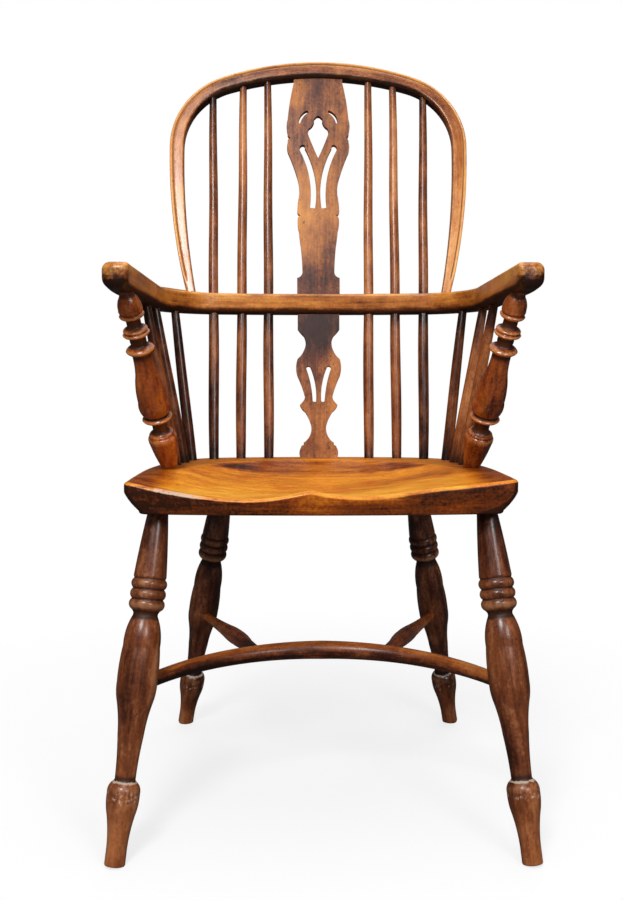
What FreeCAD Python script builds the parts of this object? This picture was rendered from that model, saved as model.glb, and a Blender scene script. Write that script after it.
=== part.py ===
import FreeCAD, Part
import os
import math
import Sketcher
from FreeCAD import Placement, Rotation, Vector

# Windsor armchair with a hooped back, two pierced splats, a saddled seat and a crinoline stretcher.
# Millimetres. X is to the sitter's left, Y points to the back, Z is up.
# The origin lies on the floor under the middle of the chair's box.
# Places in the sheet are measured from the datum line across the seat, which stands in front of the origin.

doc = FreeCAD.newDocument("windsor_chair")
sheet = doc.addObject("Spreadsheet::Sheet", "Sizes")

SIZES = [
    ("datum_forward", 36.7, "seat's datum line in front of the origin"),
    ("clearance", 0.1, "gap round every tenon and stick in its hole"),
    ("seat_underside", 414.0, "height of the seat's flat underside"),
    ("seat_thickness", 38.0, "thickness of the plank at its rim"),
    ("seat_front", 186.0, "front edge of the seat, in front of the datum"),
    ("seat_front_radius", 1780.0, "curve of the front edge"),
    ("seat_side_half_width", 244.0, "half the width at the middle of the sides"),
    ("seat_widest_forward", 30.0, "widest line of the seat, in front of the datum"),
    ("seat_side_front_radius", 6000.0, "curve of the sides in front of that line"),
    ("seat_side_rear_radius", 690.0, "curve of the sides behind that line"),
    ("seat_back", 208.0, "rear edge of the seat, behind the datum"),
    ("seat_back_radius", 970.0, "curve of the rear edge"),
    ("seat_rear_corner", 100.0, "curve of the rear corners"),
    ("seat_front_corner", 10.0, "curve of the front corners"),
    ("seat_under_corner", 10.0, "curve of the front corners on the underside"),
    ("seat_bevel_side", 21.5, "how far the bevelled underside draws in at the sides and back"),
    ("seat_bevel_front", 6.0, "how far it draws in at the front"),
    ("seat_wall", 11.0, "height of the upright wall above that bevel"),
    ("seat_bevel_middle", 13.0, "height where the bevel steepens"),
    ("seat_bevel_middle_side", 8.8, "how far it draws in there at the sides and back"),
    ("seat_bevel_middle_front", 2.0, "how far it draws in there at the front"),
    ("seat_arris", 5.0, "rounding of the seat's arrises"),
    ("saddle_depth", 25.0, "depth of the dished seat below the rim"),
    ("saddle_front_rim", 8.0, "width of the rim beside the dish at the front"),
    ("saddle_side_rim", 48.0, "width of the rim beside it between the arm supports"),
    ("saddle_reach", 222.0, "length of the dish behind its deepest line"),
    ("saddle_line", 60.0, "deepest line, in front of the datum"),
    ("pommel_height", 17.5, "height of the ridge between the thighs"),
    ("pommel_half_width", 60.0, "spread of that ridge to each side"),
    ("pommel_length", 78.0, "spread of that ridge to the back"),
    ("front_leg_inset", 37.7, "front leg's top inside the seat's widest side"),
    ("front_leg_setback", 60.0, "front leg's top behind the front edge"),
    ("front_leg_splay", 43.5, "how far its foot stands out to the side"),
    ("front_leg_rake", -94.0, "how far its foot stands back, and so to the front"),
    ("rear_leg_inset", 96.8, "rear leg's top inside the seat's widest side"),
    ("rear_leg_setback", 62.0, "rear leg's top in front of the rear edge"),
    ("rear_leg_splay", 75.7, "how far its foot stands out to the side"),
    ("rear_leg_rake", 109.0, "how far its foot stands back"),
    ("leg_tenon", 24.0, "depth of a leg in the seat"),
    ("leg_top_radius", 13.0, "leg where it enters the seat"),
    ("leg_cone_radius", 20.3, "leg's upper taper above the rings"),
    ("leg_ring_drop", 86.0, "top of the rings below the seat"),
    ("leg_ring_height", 12.6, "height of one ring"),
    ("leg_ring_radius", 22.1, "rings at their fullest"),
    ("leg_groove_radius", 19.2, "grooves between the rings"),
    ("leg_neck_radius", 15.2, "neck under the rings"),
    ("front_vase_radius", 24.6, "front leg at its fullest"),
    ("rear_vase_radius", 23.2, "rear leg at its fullest"),
    ("leg_vase_height", 214.0, "height of the fullest part along the leg"),
    ("leg_ankle_height", 99.0, "height of the ankle along the leg"),
    ("leg_ankle_radius", 12.5, "leg at the ankle"),
    ("foot_bulb_height", 84.0, "height of the foot's bulb"),
    ("foot_bulb_radius", 19.8, "foot at its bulb"),
    ("foot_toe_radius", 12.4, "foot at the floor"),
    ("arm_top", 711.0, "height of the arm bow's top at the hoop"),
    ("arm_thickness", 30.5, "thickness of the arm bow"),
    ("arm_slope", 0.018, "how steeply the arm bow rises to the front"),
    ("arm_width", 33.0, "width of the arm bow"),
    ("arm_half_span", 249.0, "middle line of an arm from the centre"),
    ("arm_back", 229.0, "middle line of the bow's back, behind the datum"),
    ("arm_back_radius", 1200.0, "curve of the bow's back"),
    ("arm_corner_radius", 107.0, "curve of the bow's corners"),
    ("arm_front", 172.0, "front end of the hands, in front of the datum"),
    ("hand_outer_round", 15.0, "rounding of a hand's outer corner"),
    ("hand_inner_round", 10.5, "rounding of a hand's inner corner"),
    ("arm_arris", 5.0, "rounding of the arm bow's upper arrises"),
    ("arm_under_arris", 7.0, "rounding of its lower arrises"),
    ("support_foot_inset", 33.5, "arm support's foot inside the seat's widest side"),
    ("support_foot_y", 16.0, "arm support's foot behind the datum"),
    ("support_head_inset", 3.0, "its head inside the arm's middle line"),
    ("support_head_setback", 63.6, "its head behind the front end of the hand"),
    ("support_foot_radius", 11.2, "arm support at the seat"),
    ("support_head_radius", 8.5, "arm support under the arm"),
    ("support_urn_radius", 17.2, "top of its tapered foot"),
    ("support_vase_radius", 20.0, "arm support at its fullest"),
    ("support_neck_radius", 9.6, "its necks"),
    ("support_tenon", 20.0, "its tenons"),
    ("hoop_setback", 26.0, "hoop's feet in front of the middle line of the arm bow's back"),
    ("hoop_rake", 93.5, "how far the hoop's top leans back from its feet"),
    ("hoop_height", 388.9, "hoop above the arm bow, in its own plane"),
    ("hoop_inset", 10.7, "the hoop at its widest, inside the arms' middle lines"),
    ("hoop_wide_height", 243.6, "height of its widest line, in its own plane"),
    ("hoop_shoulder_radius", 126.0, "outer curve of its shoulders"),
    ("hoop_inner_shoulder", 103.0, "inner curve of its shoulders"),
    ("hoop_side_radius", 979.0, "outer curve of its sides"),
    ("hoop_face", 22.0, "width of its face at its widest line"),
    ("hoop_crown_face", 25.5, "width of its face at the top"),
    ("hoop_foot_face", 14.0, "width of its face at the arm bow"),
    ("hoop_depth", 22.0, "its depth from front to back"),
    ("hoop_arris", 5.0, "rounding of its arrises"),
    ("hoop_groove_inset", 5.6, "scratched groove inside its outer edge"),
    ("hoop_groove_width", 1.6, "width of that groove"),
    ("hoop_groove_depth", 1.4, "depth of that groove"),
    ("hoop_groove_end", 25.0, "where the groove ends, above the arm bow"),
    ("hoop_tenon_radius", 6.0, "its round tenons"),
    ("hoop_tenon", 20.0, "depth of its tenons in the arm bow"),
    ("stick_near_x", 78.7, "nearest long stick at the seat"),
    ("stick_middle_x", 122.5, "middle long stick at the seat"),
    ("stick_far_x", 163.5, "farthest long stick at the seat"),
    ("stick_near_setback", 24.0, "nearest long stick's foot in front of the rear edge"),
    ("stick_middle_setback", 28.0, "middle long stick's foot in front of the rear edge"),
    ("stick_far_setback", 40.0, "farthest long stick's foot in front of the rear edge"),
    ("stick_near_top", 82.0, "nearest long stick at the hoop"),
    ("stick_middle_top", 121.8, "middle long stick at the hoop"),
    ("stick_far_top", 171.0, "farthest long stick at the hoop"),
    ("stick_tenon", 20.0, "depth of a stick in the seat"),
    ("stick_foot_radius", 7.4, "long stick at the seat"),
    ("stick_arm_radius", 7.7, "long stick in the arm bow"),
    ("stick_head_radius", 5.8, "long stick at the hoop"),
    ("stick_swell", 0.7, "swelling of a stick between its ends"),
    ("side_stick_foot_radius", 8.0, "short stick at the seat"),
    ("side_stick_head_radius", 6.3, "short stick at the arm bow"),
    ("side_back_inset", 48.0, "rear short stick's foot inside the seat's widest side"),
    ("side_back_foot_y", 148.0, "rear short stick at the seat"),
    ("side_back_head_inset", 7.126, "its head inside the arm bow's middle line"),
    ("side_back_head_y", 174.0, "rear short stick at the arm bow"),
    ("side_middle_inset", 41.0, "middle short stick's foot inside the seat's widest side"),
    ("side_middle_foot_y", 110.0, "middle short stick at the seat"),
    ("side_middle_head_inset", 4.95, "its head inside the arm bow's middle line"),
    ("side_middle_head_y", 116.0, "middle short stick at the arm bow"),
    ("side_front_inset", 35.0, "front short stick's foot inside the seat's widest side"),
    ("side_front_foot_y", 68.0, "front short stick at the seat"),
    ("side_front_head_inset", 1.7, "its head inside the arm bow's middle line"),
    ("side_front_head_y", 55.0, "front short stick at the arm bow"),
    ("splat_setback", 24.0, "splats' foot in front of the seat's rear edge"),
    ("splat_thickness", 9.0, "thickness of the splats"),
    ("splat_tenon", 9.0, "depth of the splats in their mortises"),
    ("bow_radius", 262.0, "curve of the crinoline stretcher"),
    ("bow_middle_y", -46.0, "middle of the crinoline stretcher"),
    ("bow_middle_z", 211.0, "height of its middle"),
    ("bow_end_z", 204.0, "height where it meets the front legs"),
    ("bow_middle_section", 12.3, "radius of its section at the middle"),
    ("bow_end_section", 9.0, "radius of its section at its ends and in the legs"),
    ("spur_x", 82.0, "spur stretchers on the crinoline stretcher"),
    ("spur_leg_z", 197.5, "spur stretchers on the rear legs"),
    ("spur_bulb_radius", 11.2, "spur stretchers at their fullest"),
    ("spur_end_radius", 6.3, "spur stretchers at their ends"),
    ("spur_tenon", 12.0, "depth of their tenons"),
]

for row, (alias, number, note) in enumerate(SIZES, start=1):
    sheet.set(f"A{row}", alias)
    sheet.set(f"B{row}", str(number))
    sheet.set(f"C{row}", note)
    sheet.setAlias(f"B{row}", alias)
doc.recompute()


class Size:
    """A length or ratio that keeps its number together with the text that the document binds."""

    def __init__(self, number, text):
        self.number = float(number)
        self.text = text

    def __float__(self):
        return self.number

    @staticmethod
    def of(other):
        return other if isinstance(other, Size) else Size(other, f"({float(other):.6f})")

    def __add__(self, other):
        other = Size.of(other)
        return Size(self.number + other.number, f"({self.text} + {other.text})")

    def __sub__(self, other):
        other = Size.of(other)
        return Size(self.number - other.number, f"({self.text} - {other.text})")

    def __mul__(self, other):
        other = Size.of(other)
        return Size(self.number * other.number, f"({self.text} * {other.text})")

    def __truediv__(self, other):
        other = Size.of(other)
        return Size(self.number / other.number, f"({self.text} / {other.text})")

    def __radd__(self, other):
        return Size.of(other) + self

    def __rsub__(self, other):
        return Size.of(other) - self

    def __rmul__(self, other):
        return Size.of(other) * self

    def __rtruediv__(self, other):
        return Size.of(other) / self

    def __neg__(self):
        return Size(-self.number, f"(-1 * {self.text})")

    def root(self):
        return Size(math.sqrt(self.number), f"sqrt({self.text})")


def size(alias):
    """The sheet's value of that name."""
    return Size(sheet.get(alias), f"Sizes.{alias}")


clearance = size("clearance")
seat_top = size("seat_underside") + size("seat_thickness")
arm_top = size("arm_top")
hoop_base = size("arm_back") - size("hoop_setback")
hoop_half_width = size("arm_half_span") - size("hoop_inset")
arm_underside = arm_top - size("arm_thickness")


def arm_level(y):
    """Height of the arm bow's underside at a place that far behind the datum."""
    return arm_underside + (hoop_base - y) * size("arm_slope")


def at(x, y, z):
    """A point of the chair, with y measured from the seat's datum line."""
    return (Size.of(x), Size.of(y) - size("datum_forward"), Size.of(z))


def minus(end, start):
    return tuple(e - s for e, s in zip(end, start))


def length(vector):
    x, y, z = vector
    return (x * x + y * y + z * z).root()


def between(start, end, share):
    """The point at that share of the way from start to end."""
    return tuple(s + (e - s) * share for s, e in zip(start, end))


def at_height(start, end, z):
    """The point of the line from start to end that lies at height z."""
    return between(start, end, (z - start[2]) / (end[2] - start[2]))


def beyond(start, end, distance):
    """The point that lies that far past end, on the line from start."""
    return between(start, end, 1 + distance / length(minus(end, start)))


def on_side(point, side):
    """The point itself for side 1, or its mirror image for side -1."""
    return (point[0] * side, point[1], point[2])


def stand(thing, foot, head):
    """Put the thing's origin at foot and turn its Z axis towards head."""
    dx, dy, dz = minus(head, foot)
    turn = Rotation(Vector(0, 0, 1), Vector(float(dx), float(dy), float(dz)))
    thing.Placement = Placement(Vector(*[float(c) for c in foot]), turn)
    for axis, value in zip("xyz", foot):
        thing.setExpression(f"Placement.Base.{axis}", value.text)
    if abs(float(dx)) + abs(float(dy)) > 1e-9:
        thing.setExpression("Placement.Rotation.Axis.x", (-dy).text)
        thing.setExpression("Placement.Rotation.Axis.y", dx.text)
        thing.setExpression("Placement.Rotation.Axis.z", "0")
        flat = (dx * dx + dy * dy).root()
        thing.setExpression("Placement.Rotation.Angle", f"atan2({flat.text}; {dz.text})")


def new_body(label):
    body = doc.addObject("PartDesign::Body", label)
    body.Label = label
    return body


def plane_of(body, role):
    return [f for f in body.Origin.OriginFeatures if f.Role == role][0]


def new_sketch(body, role, name):
    """A sketch on one of the body's own origin planes."""
    sketch = body.newObject("Sketcher::SketchObject", name)
    sketch.AttachmentSupport = [(plane_of(body, role), "")]
    sketch.MapMode = "FlatFace"
    return sketch


def hold(sketch, kind, where, value):
    """Add a dimension and bind it to the sheet."""
    index = sketch.addConstraint(Sketcher.Constraint(kind, *where, float(value)))
    if isinstance(value, Size):
        sketch.setExpression(f"Constraints[{index}]", value.text)


def rise_of(start, end, radius):
    """Rise over its chord of an arc of that radius between two points."""
    dx = end[0] - start[0]
    dy = end[1] - start[1]
    half_chord = (dx * dx + dy * dy) / 4
    return radius - (radius * radius - half_chord).root()


def outline(sketch, stations):
    """Draw a closed outline, anticlockwise. A station is (x, y), or (x, y, rise) where the line to the
    next station is an arc with that rise over its chord: above 0 it bulges out, below 0 it is hollow."""
    ends = []
    stations = [(Size.of(s[0]), Size.of(s[1]), s[2] if len(s) > 2 else None) for s in stations]
    following = stations[1:] + stations[:1]
    for here, there in zip(stations, following):
        a = Vector(float(here[0]), float(here[1]), 0)
        b = Vector(float(there[0]), float(there[1]), 0)
        if here[2] is None:
            index = sketch.addGeometry(Part.LineSegment(a, b))
            ends.append((index, 1, 2))
            continue
        rise = Size.of(here[2])
        chord = b - a
        outward = Vector(chord.y, -chord.x, 0).normalize()
        middle = (a + b) * 0.5 + outward * float(rise)
        turns_left = float(rise) > 0
        index = sketch.addGeometry(Part.Arc(a, middle, b) if turns_left else Part.Arc(b, middle, a))
        ends.append((index, 1, 2) if turns_left else (index, 2, 1))
    for (index, _, last), (after, first, _) in zip(ends, ends[1:] + ends[:1]):
        sketch.addConstraint(Sketcher.Constraint("Coincident", index, last, after, first))
    for (index, first, _), here, there in zip(ends, stations, following):
        if float(here[0]) == 0:
            sketch.addConstraint(Sketcher.Constraint("PointOnObject", index, first, -2))
        else:
            hold(sketch, "DistanceX", (-1, 1, index, first), here[0])
        if float(here[1]) == 0:
            sketch.addConstraint(Sketcher.Constraint("PointOnObject", index, first, -1))
        else:
            hold(sketch, "DistanceY", (-1, 1, index, first), here[1])
        if here[2] is not None:
            rise = Size.of(here[2])
            dx = there[0] - here[0]
            dy = there[1] - here[1]
            radius = ((dx * dx + dy * dy) / 4 + rise * rise) / (2 * rise)
            hold(sketch, "Radius", (index,), radius if float(rise) > 0 else -radius)


def both_sides(half, closing_rise=None):
    """A whole outline from its right half. The half runs anticlockwise; its last station's rise belongs
    to the line that crosses the middle there, and closing_rise to the line that crosses it at the start."""
    half = [(s[0], s[1], s[2] if len(s) > 2 else None) for s in half]
    left = []
    for here, after in zip(half[:-1], half[1:]):
        left.append((-Size.of(after[0]), after[1], here[2]))
    left.reverse()
    if float(half[-1][0]) == 0:
        left = left[1:]
        half[-1] = (half[-1][0], half[-1][1], half[-2][2])
    if float(half[0][0]) != 0:
        left.append((-Size.of(half[0][0]), half[0][1], closing_rise))
    return half + left


def mirrored(stations):
    """The outline's mirror image across the middle, still anticlockwise."""
    stations = [(s[0], s[1], s[2] if len(s) > 2 else None) for s in stations]
    result = []
    for here, after in zip(stations, stations[1:] + stations[:1]):
        result.append((-Size.of(after[0]), after[1], here[2]))
    result.reverse()
    return result


def turned(label, profile, foot, head):
    """A lathe-turned piece: half its outline, in (radius, height), is revolved about its own axis."""
    body = new_body(label)
    sketch = new_sketch(body, "XZ_Plane", label + "_profile")
    outline(sketch, profile)
    turning = body.newObject("PartDesign::Revolution", label + "_turning")
    turning.Profile = sketch
    turning.ReferenceAxis = (sketch, ["V_Axis"])
    turning.Angle = 360
    stand(body, foot, head)
    return body


def padded(body, sketch, thickness, middle=False):
    pad = body.newObject("PartDesign::Pad", sketch.Name + "_pad")
    pad.Profile = sketch
    pad.setExpression("Length", thickness.text)
    pad.Midplane = middle
    return pad


def rounded(body, feature, radius, chosen):
    """Round the feature's edges that the test chooses."""
    doc.recompute()
    names = [f"Edge{n}" for n, edge in enumerate(feature.Shape.Edges, start=1) if chosen(edge)]
    fillet = body.newObject("PartDesign::Fillet", body.Name + "_rounding")
    fillet.Base = (feature, names)
    fillet.setExpression("Radius", radius.text)
    return fillet


def middle_of(edge):
    return edge.valueAt((edge.FirstParameter + edge.LastParameter) / 2)


def lies_at(*levels):
    """A test for the edges that lie flat at one of those levels."""
    def test(edge):
        flat = abs(edge.BoundBox.ZLength) < 0.01
        return flat and min(abs(middle_of(edge).z - float(z)) for z in levels) < 0.01
    return test


# What is bored or cut into each piece, filled as the pieces that enter it are made
holes = {}


def bore(receiver, radius, start, end):
    """A round hole in the receiver from start to end, for a tenon of that radius."""
    tool = doc.addObject("Part::Cylinder", receiver + "_bore")
    tool.setExpression("Radius", (radius + clearance).text)
    tool.setExpression("Height", length(minus(end, start)).text)
    stand(tool, start, end)
    holes.setdefault(receiver, []).append(tool)


def mortise(receiver, half_width, start, end):
    """A flat slot in the receiver from start to end, for a splat of that half width."""
    tool = doc.addObject("Part::Box", receiver + "_mortise")
    wide = 2 * (half_width + clearance)
    deep = size("splat_thickness") + 2 * clearance
    tool.setExpression("Length", wide.text)
    tool.setExpression("Width", deep.text)
    tool.setExpression("Height", length(minus(end, start)).text)
    rake = length(minus(end, start))
    back = deep / 2 * (end[2] - start[2]) / rake
    down = deep / 2 * (end[1] - start[1]) / rake
    corner = (start[0] - wide / 2, start[1] - back, start[2] + down)
    stand(tool, corner, tuple(c + d for c, d in zip(corner, minus(end, start))))
    holes.setdefault(receiver, []).append(tool)


def finished(label, blank, tools):
    """The piece once its holes are cut out of the blank."""
    if not tools:
        return blank
    blank.Label = label + "_blank"
    if len(tools) > 1:
        joined = doc.addObject("Part::MultiFuse", label + "_tools")
        joined.Shapes = tools
    else:
        joined = tools[0]
    cut = doc.addObject("Part::Cut", label)
    cut.Base = blank
    cut.Tool = joined
    cut.Label = label
    return cut


# Below the floor: what the sawn feet lose, so that all four stand flat
floor = doc.addObject("Part::Box", "under_floor")
floor.Length = 1000
floor.Width = 1000
floor.Height = 100
floor.Placement = Placement(Vector(-500, -500, -100), Rotation())


# Legs: tenon, upper taper, three rings, neck, long vase, ankle and a bulbous foot
def leg_profile(long, vase_radius):
    ring = size("leg_ring_height")
    groove = size("leg_groove_radius")
    ring_rise = size("leg_ring_radius") - groove
    neck = size("leg_neck_radius")
    ankle = size("leg_ankle_radius")
    ankle_height = size("leg_ankle_height")
    vase_height = size("leg_vase_height")
    toe = size("foot_toe_radius")
    bulb = size("foot_bulb_radius")
    bulb_height = size("foot_bulb_height")
    rings_top = long - size("leg_ring_drop")
    rings_foot = rings_top - 3 * ring
    waist = ankle + (vase_radius - ankle) * 0.28
    waist_height = ankle_height + (vase_height - ankle_height) * 0.46
    return [
        (0, -size("foot_toe_radius")),
        (toe, -size("foot_toe_radius")),
        (toe, bulb_height * 0.25, -0.9),
        (bulb * 0.86, bulb_height * 0.7, 1.0),
        (bulb, bulb_height, 2.2),
        (ankle + 1.0, ankle_height - 1.0),
        (ankle, ankle_height + 1.0, -0.7),
        (waist, waist_height, -1.0),
        (vase_radius * 0.9, vase_height - 22, 0.8),
        (vase_radius, vase_height, 0.9),
        (vase_radius * 0.92, vase_height + 44, 2.4),
        (neck, rings_foot - 7.5),
        (neck, rings_foot - 5.0, -0.6),
        (groove, rings_foot, ring_rise),
        (groove, rings_foot + ring, ring_rise),
        (groove, rings_foot + 2 * ring, ring_rise),
        (groove, rings_top),
        (size("leg_cone_radius"), rings_top + 2.5, 0.5),
        (size("leg_top_radius"), long - 5.0),
        (size("leg_top_radius"), long + size("leg_tenon")),
        (0, long + size("leg_tenon")),
    ]


leg_top_y = {
    "front": size("front_leg_setback") - size("seat_front"),
    "rear": size("seat_back") - size("rear_leg_setback"),
}


def make_leg(label, where, side):
    top_x = size("seat_side_half_width") - size(f"{where}_leg_inset")
    top_y = leg_top_y[where]
    foot_y = top_y + size(f"{where}_leg_rake")
    foot = on_side(at(top_x + size(f"{where}_leg_splay"), foot_y, 0), side)
    head = on_side(at(top_x, top_y, size("seat_underside")), side)
    long = length(minus(head, foot))
    leg = turned(label, leg_profile(long, size(f"{where}_vase_radius")), foot, head)
    bottom = beyond(foot, head, size("leg_tenon") + clearance)
    bore("seat", size("leg_top_radius"), beyond(foot, head, -10), bottom)
    holes.setdefault(label, []).append(floor)
    return leg, foot, head


SIDES = [("left", 1), ("right", -1)]
legs = {}
for where in ("front", "rear"):
    for hand, side in SIDES:
        label = f"leg_{where}_{hand}"
        legs[label] = make_leg(label, where, side)

# Crinoline stretcher: a bent bow whose round section tapers from the middle to its two tenons
bow_middle = at(0, size("bow_middle_y"), size("bow_middle_z"))
bow_end = at_height(legs["leg_front_left"][1], legs["leg_front_left"][2], size("bow_end_z"))
bow_fall = minus((bow_middle[0], bow_end[1], bow_end[2]), bow_middle)
bow_reach = length(bow_fall)
bow_radius = size("bow_radius")
bow_out = ((bow_end[0] * bow_end[0]) + (bow_radius - bow_reach) * (bow_radius - bow_reach)).root()
bow_tail = (bow_out * bow_out - bow_radius * bow_radius).root()
bow_turn = math.degrees(math.atan2(float(bow_end[0]), float(bow_radius - bow_reach)))
bow_turn = bow_turn - math.degrees(math.atan2(float(bow_tail), float(bow_radius)))


def make_bow():
    """The section is swept along a path in the bow's own plane, with X across and Y to the front."""
    body = new_body("stretcher_bow")
    path = new_sketch(body, "XY_Plane", "stretcher_bow_path")
    turn = math.radians(bow_turn)
    radius = float(bow_radius)
    centre = Vector(0, radius, 0)
    tangent = Vector(radius * math.sin(turn), radius - radius * math.cos(turn), 0)
    tip = Vector(float(bow_end[0]), float(bow_reach), 0)
    circle = Part.Circle(centre, Vector(0, 0, 1), radius)
    path.addGeometry(Part.ArcOfCircle(circle, -math.pi / 2, turn - math.pi / 2))
    path.addGeometry(Part.LineSegment(tangent, tip))
    path.addConstraint(Sketcher.Constraint("Coincident", 0, 1, -1, 1))
    path.addConstraint(Sketcher.Constraint("PointOnObject", 0, 3, -2))
    path.addConstraint(Sketcher.Constraint("Tangent", 0, 2, 1, 1))
    hold(path, "Radius", (0,), bow_radius)
    hold(path, "DistanceX", (-1, 1, 1, 2), bow_end[0])
    hold(path, "DistanceY", (-1, 1, 1, 2), bow_reach)
    middle = new_sketch(body, "YZ_Plane", "stretcher_bow_middle")
    end = new_sketch(body, "YZ_Plane", "stretcher_bow_end")
    for section, alias in ((middle, "bow_middle_section"), (end, "bow_end_section")):
        section.addGeometry(Part.Circle(Vector(0, 0, 0), Vector(0, 0, 1), float(size(alias))))
        section.addConstraint(Sketcher.Constraint("Coincident", 0, 3, -1, 1))
        hold(section, "Radius", (0,), size(alias))
    end.AttachmentOffset = Placement(Vector(tangent.y, 0, tangent.x), Rotation(Vector(0, 1, 0), bow_turn))
    sweep = body.newObject("PartDesign::AdditivePipe", "stretcher_bow_sweep")
    sweep.Profile = middle
    sweep.Spine = (path, ["Edge1"])
    sweep.Transformation = "Multisection"
    sweep.Sections = [end]
    tail = body.newObject("PartDesign::Pad", "stretcher_bow_tail")
    tail.Profile = end
    tail.setExpression("Length", bow_tail.text)
    whole = body.newObject("PartDesign::Mirrored", "stretcher_bow_mirror")
    whole.Originals = [sweep, tail]
    whole.MirrorPlane = (plane_of(body, "YZ_Plane"), [""])
    body.Tip = whole
    lean = math.degrees(math.atan2(float(bow_fall[2]), -float(bow_fall[1])))
    body.Placement = Placement(Vector(*[float(c) for c in bow_middle]), Rotation(Vector(1, 0, 0), 180 - lean))
    return body


bow = make_bow()
for hand, side in SIDES:
    tip = on_side(bow_end, side)
    heading = math.radians(bow_turn)
    lean = math.atan2(float(bow_fall[2]), -float(bow_fall[1]))
    inward = (
        Size.of(-side * math.cos(heading)),
        Size.of(math.sin(heading) * math.cos(lean)),
        Size.of(math.sin(heading) * math.sin(-lean)),
    )
    outside = tuple(t + i * 60 for t, i in zip(tip, inward))
    bore(f"leg_front_{hand}", size("bow_end_section"), outside, beyond(outside, tip, clearance))

# Spur stretchers: short turnings with a long bulb, from the crinoline stretcher back to the rear legs
spur_x = size("spur_x")
spur_y = size("bow_middle_y") - bow_radius + (bow_radius * bow_radius - spur_x * spur_x).root()
spur_fall = (size("bow_middle_y") - spur_y) / bow_reach
spur_z = size("bow_middle_z") + (size("bow_end_z") - size("bow_middle_z")) * spur_fall


def spur_profile(long):
    end = size("spur_end_radius")
    bulb = size("spur_bulb_radius")
    bow_skin = size("bow_middle_section")
    leg_skin = size("rear_vase_radius")
    tenon = size("spur_tenon")
    return [
        (0, bow_skin - tenon),
        (end, bow_skin - tenon),
        (end, bow_skin + 1.0, -0.3),
        (bulb * 0.7, long * 0.24, 0.9),
        (bulb, long * 0.42, 0.5),
        (bulb * 0.9, long * 0.58, -0.3),
        (end * 1.16, long * 0.82),
        (end, long - leg_skin - 1.0),
        (end, long - leg_skin + tenon),
        (0, long - leg_skin + tenon),
    ]


spurs = {}
for hand, side in SIDES:
    start = on_side(at(spur_x, spur_y, spur_z), side)
    leg_foot, leg_head = legs[f"leg_rear_{hand}"][1:]
    end = at_height(leg_foot, leg_head, size("spur_leg_z"))
    long = length(minus(end, start))
    label = f"stretcher_spur_{hand}"
    spurs[label] = turned(label, spur_profile(long), start, end)
    radius = size("spur_end_radius")
    bow_bottom = size("bow_middle_section") - size("spur_tenon") - clearance
    leg_bottom = long - size("rear_vase_radius") + size("spur_tenon") + clearance
    bore("stretcher_bow", radius, between(start, end, bow_bottom / long), between(start, end, 30 / long))
    outside = between(start, end, 1 - 40 / long)
    bore(f"leg_rear_{hand}", radius, outside, between(start, end, leg_bottom / long))


# Arm supports: tapered foot, necks, a long vase and three rings under an acorn
support_foot = at(size("seat_side_half_width") - size("support_foot_inset"), size("support_foot_y"), seat_top)
support_head_x = size("arm_half_span") - size("support_head_inset")
support_head_y = size("support_head_setback") - size("arm_front")
support_head = at(support_head_x, support_head_y, arm_level(support_head_y))
support_long = length(minus(support_head, support_foot))


def support_profile():
    neck = size("support_neck_radius")
    vase = size("support_vase_radius")
    urn = size("support_urn_radius")
    tenon = size("support_tenon")
    top = support_long
    head = size("support_head_radius")
    foot = size("support_foot_radius")
    return [
        (0, -tenon),
        (foot, -tenon),
        (foot, 6.0, 0.8),
        (urn, 46.0),
        (urn, 48.5, 0.8),
        (urn - 1.4, 54.0),
        (urn - 2.6, 56.0, -1.7),
        (neck, 65.0),
        (neck, 71.0, -1.0),
        (vase - 5.5, 75.5),
        (vase - 3.2, 76.5, 0.4),
        (vase - 0.9, 80.2, 0.4),
        (vase - 3.2, 84.0),
        (vase - 4.6, 85.0, 2.6),
        (vase, 107.0, 1.4),
        (vase - 5.5, 148.0, -0.7),
        (neck + 1.3, 178.0),
        (neck + 4.8, 181.0),
        (neck + 5.8, 182.0, 0.4),
        (neck + 9.0, 186.5, 0.4),
        (neck + 5.8, 191.0),
        (neck + 4.0, 192.0, -1.2),
        (neck + 0.3, 197.5),
        (neck + 0.3, 200.5, -1.2),
        (neck + 4.0, 205.0),
        (neck + 5.0, 206.0, 0.3),
        (neck + 6.6, 208.1, 0.3),
        (neck + 5.0, 210.2, 0.3),
        (neck + 6.6, 212.3, 0.3),
        (neck + 5.0, 214.5, -1.5),
        (neck - 0.6, 219.5),
        (neck - 0.6, 224.5, -0.8),
        (neck + 3.4, 228.5, 0.4),
        (neck + 6.0, 231.7, 0.4),
        (neck + 3.4, 235.0),
        (neck + 4.2, 236.0, 0.8),
        (neck + 5.2, 241.0, 2.8),
        (head, top - 6.0),
        (head, top + tenon),
        (0, top + tenon),
    ]


supports = {}
for hand, side in SIDES:
    foot, head = on_side(support_foot, side), on_side(support_head, side)
    label = f"arm_support_{hand}"
    supports[label] = turned(label, support_profile(), foot, head)
    deep = size("support_tenon") + clearance
    bore("seat", size("support_foot_radius"), beyond(head, foot, deep), beyond(head, foot, -20))
    bore("arm_bow", size("support_head_radius"), beyond(foot, head, -15), beyond(foot, head, deep))

# The arm bow's plan: a back of large radius, two corners, straight arms and rounded hands
corner_x = size("arm_half_span") - size("arm_corner_radius")
back_reach = size("arm_back_radius") - size("arm_corner_radius")
corner_y = size("arm_back") - size("arm_back_radius") + (back_reach * back_reach - corner_x * corner_x).root()


def arm_edge(offset):
    """Stations of an edge of the bow that lies that far outside its middle line: the place where the
    back's curve meets the corner's, and the place where the corner's meets the arm's straight edge."""
    radius = size("arm_corner_radius") + offset
    share = radius / back_reach
    joint_x = corner_x + corner_x * share
    joint_y = corner_y + (corner_y - size("arm_back") + size("arm_back_radius")) * share
    return (joint_x, joint_y), (size("arm_half_span") + offset, corner_y)


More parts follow.
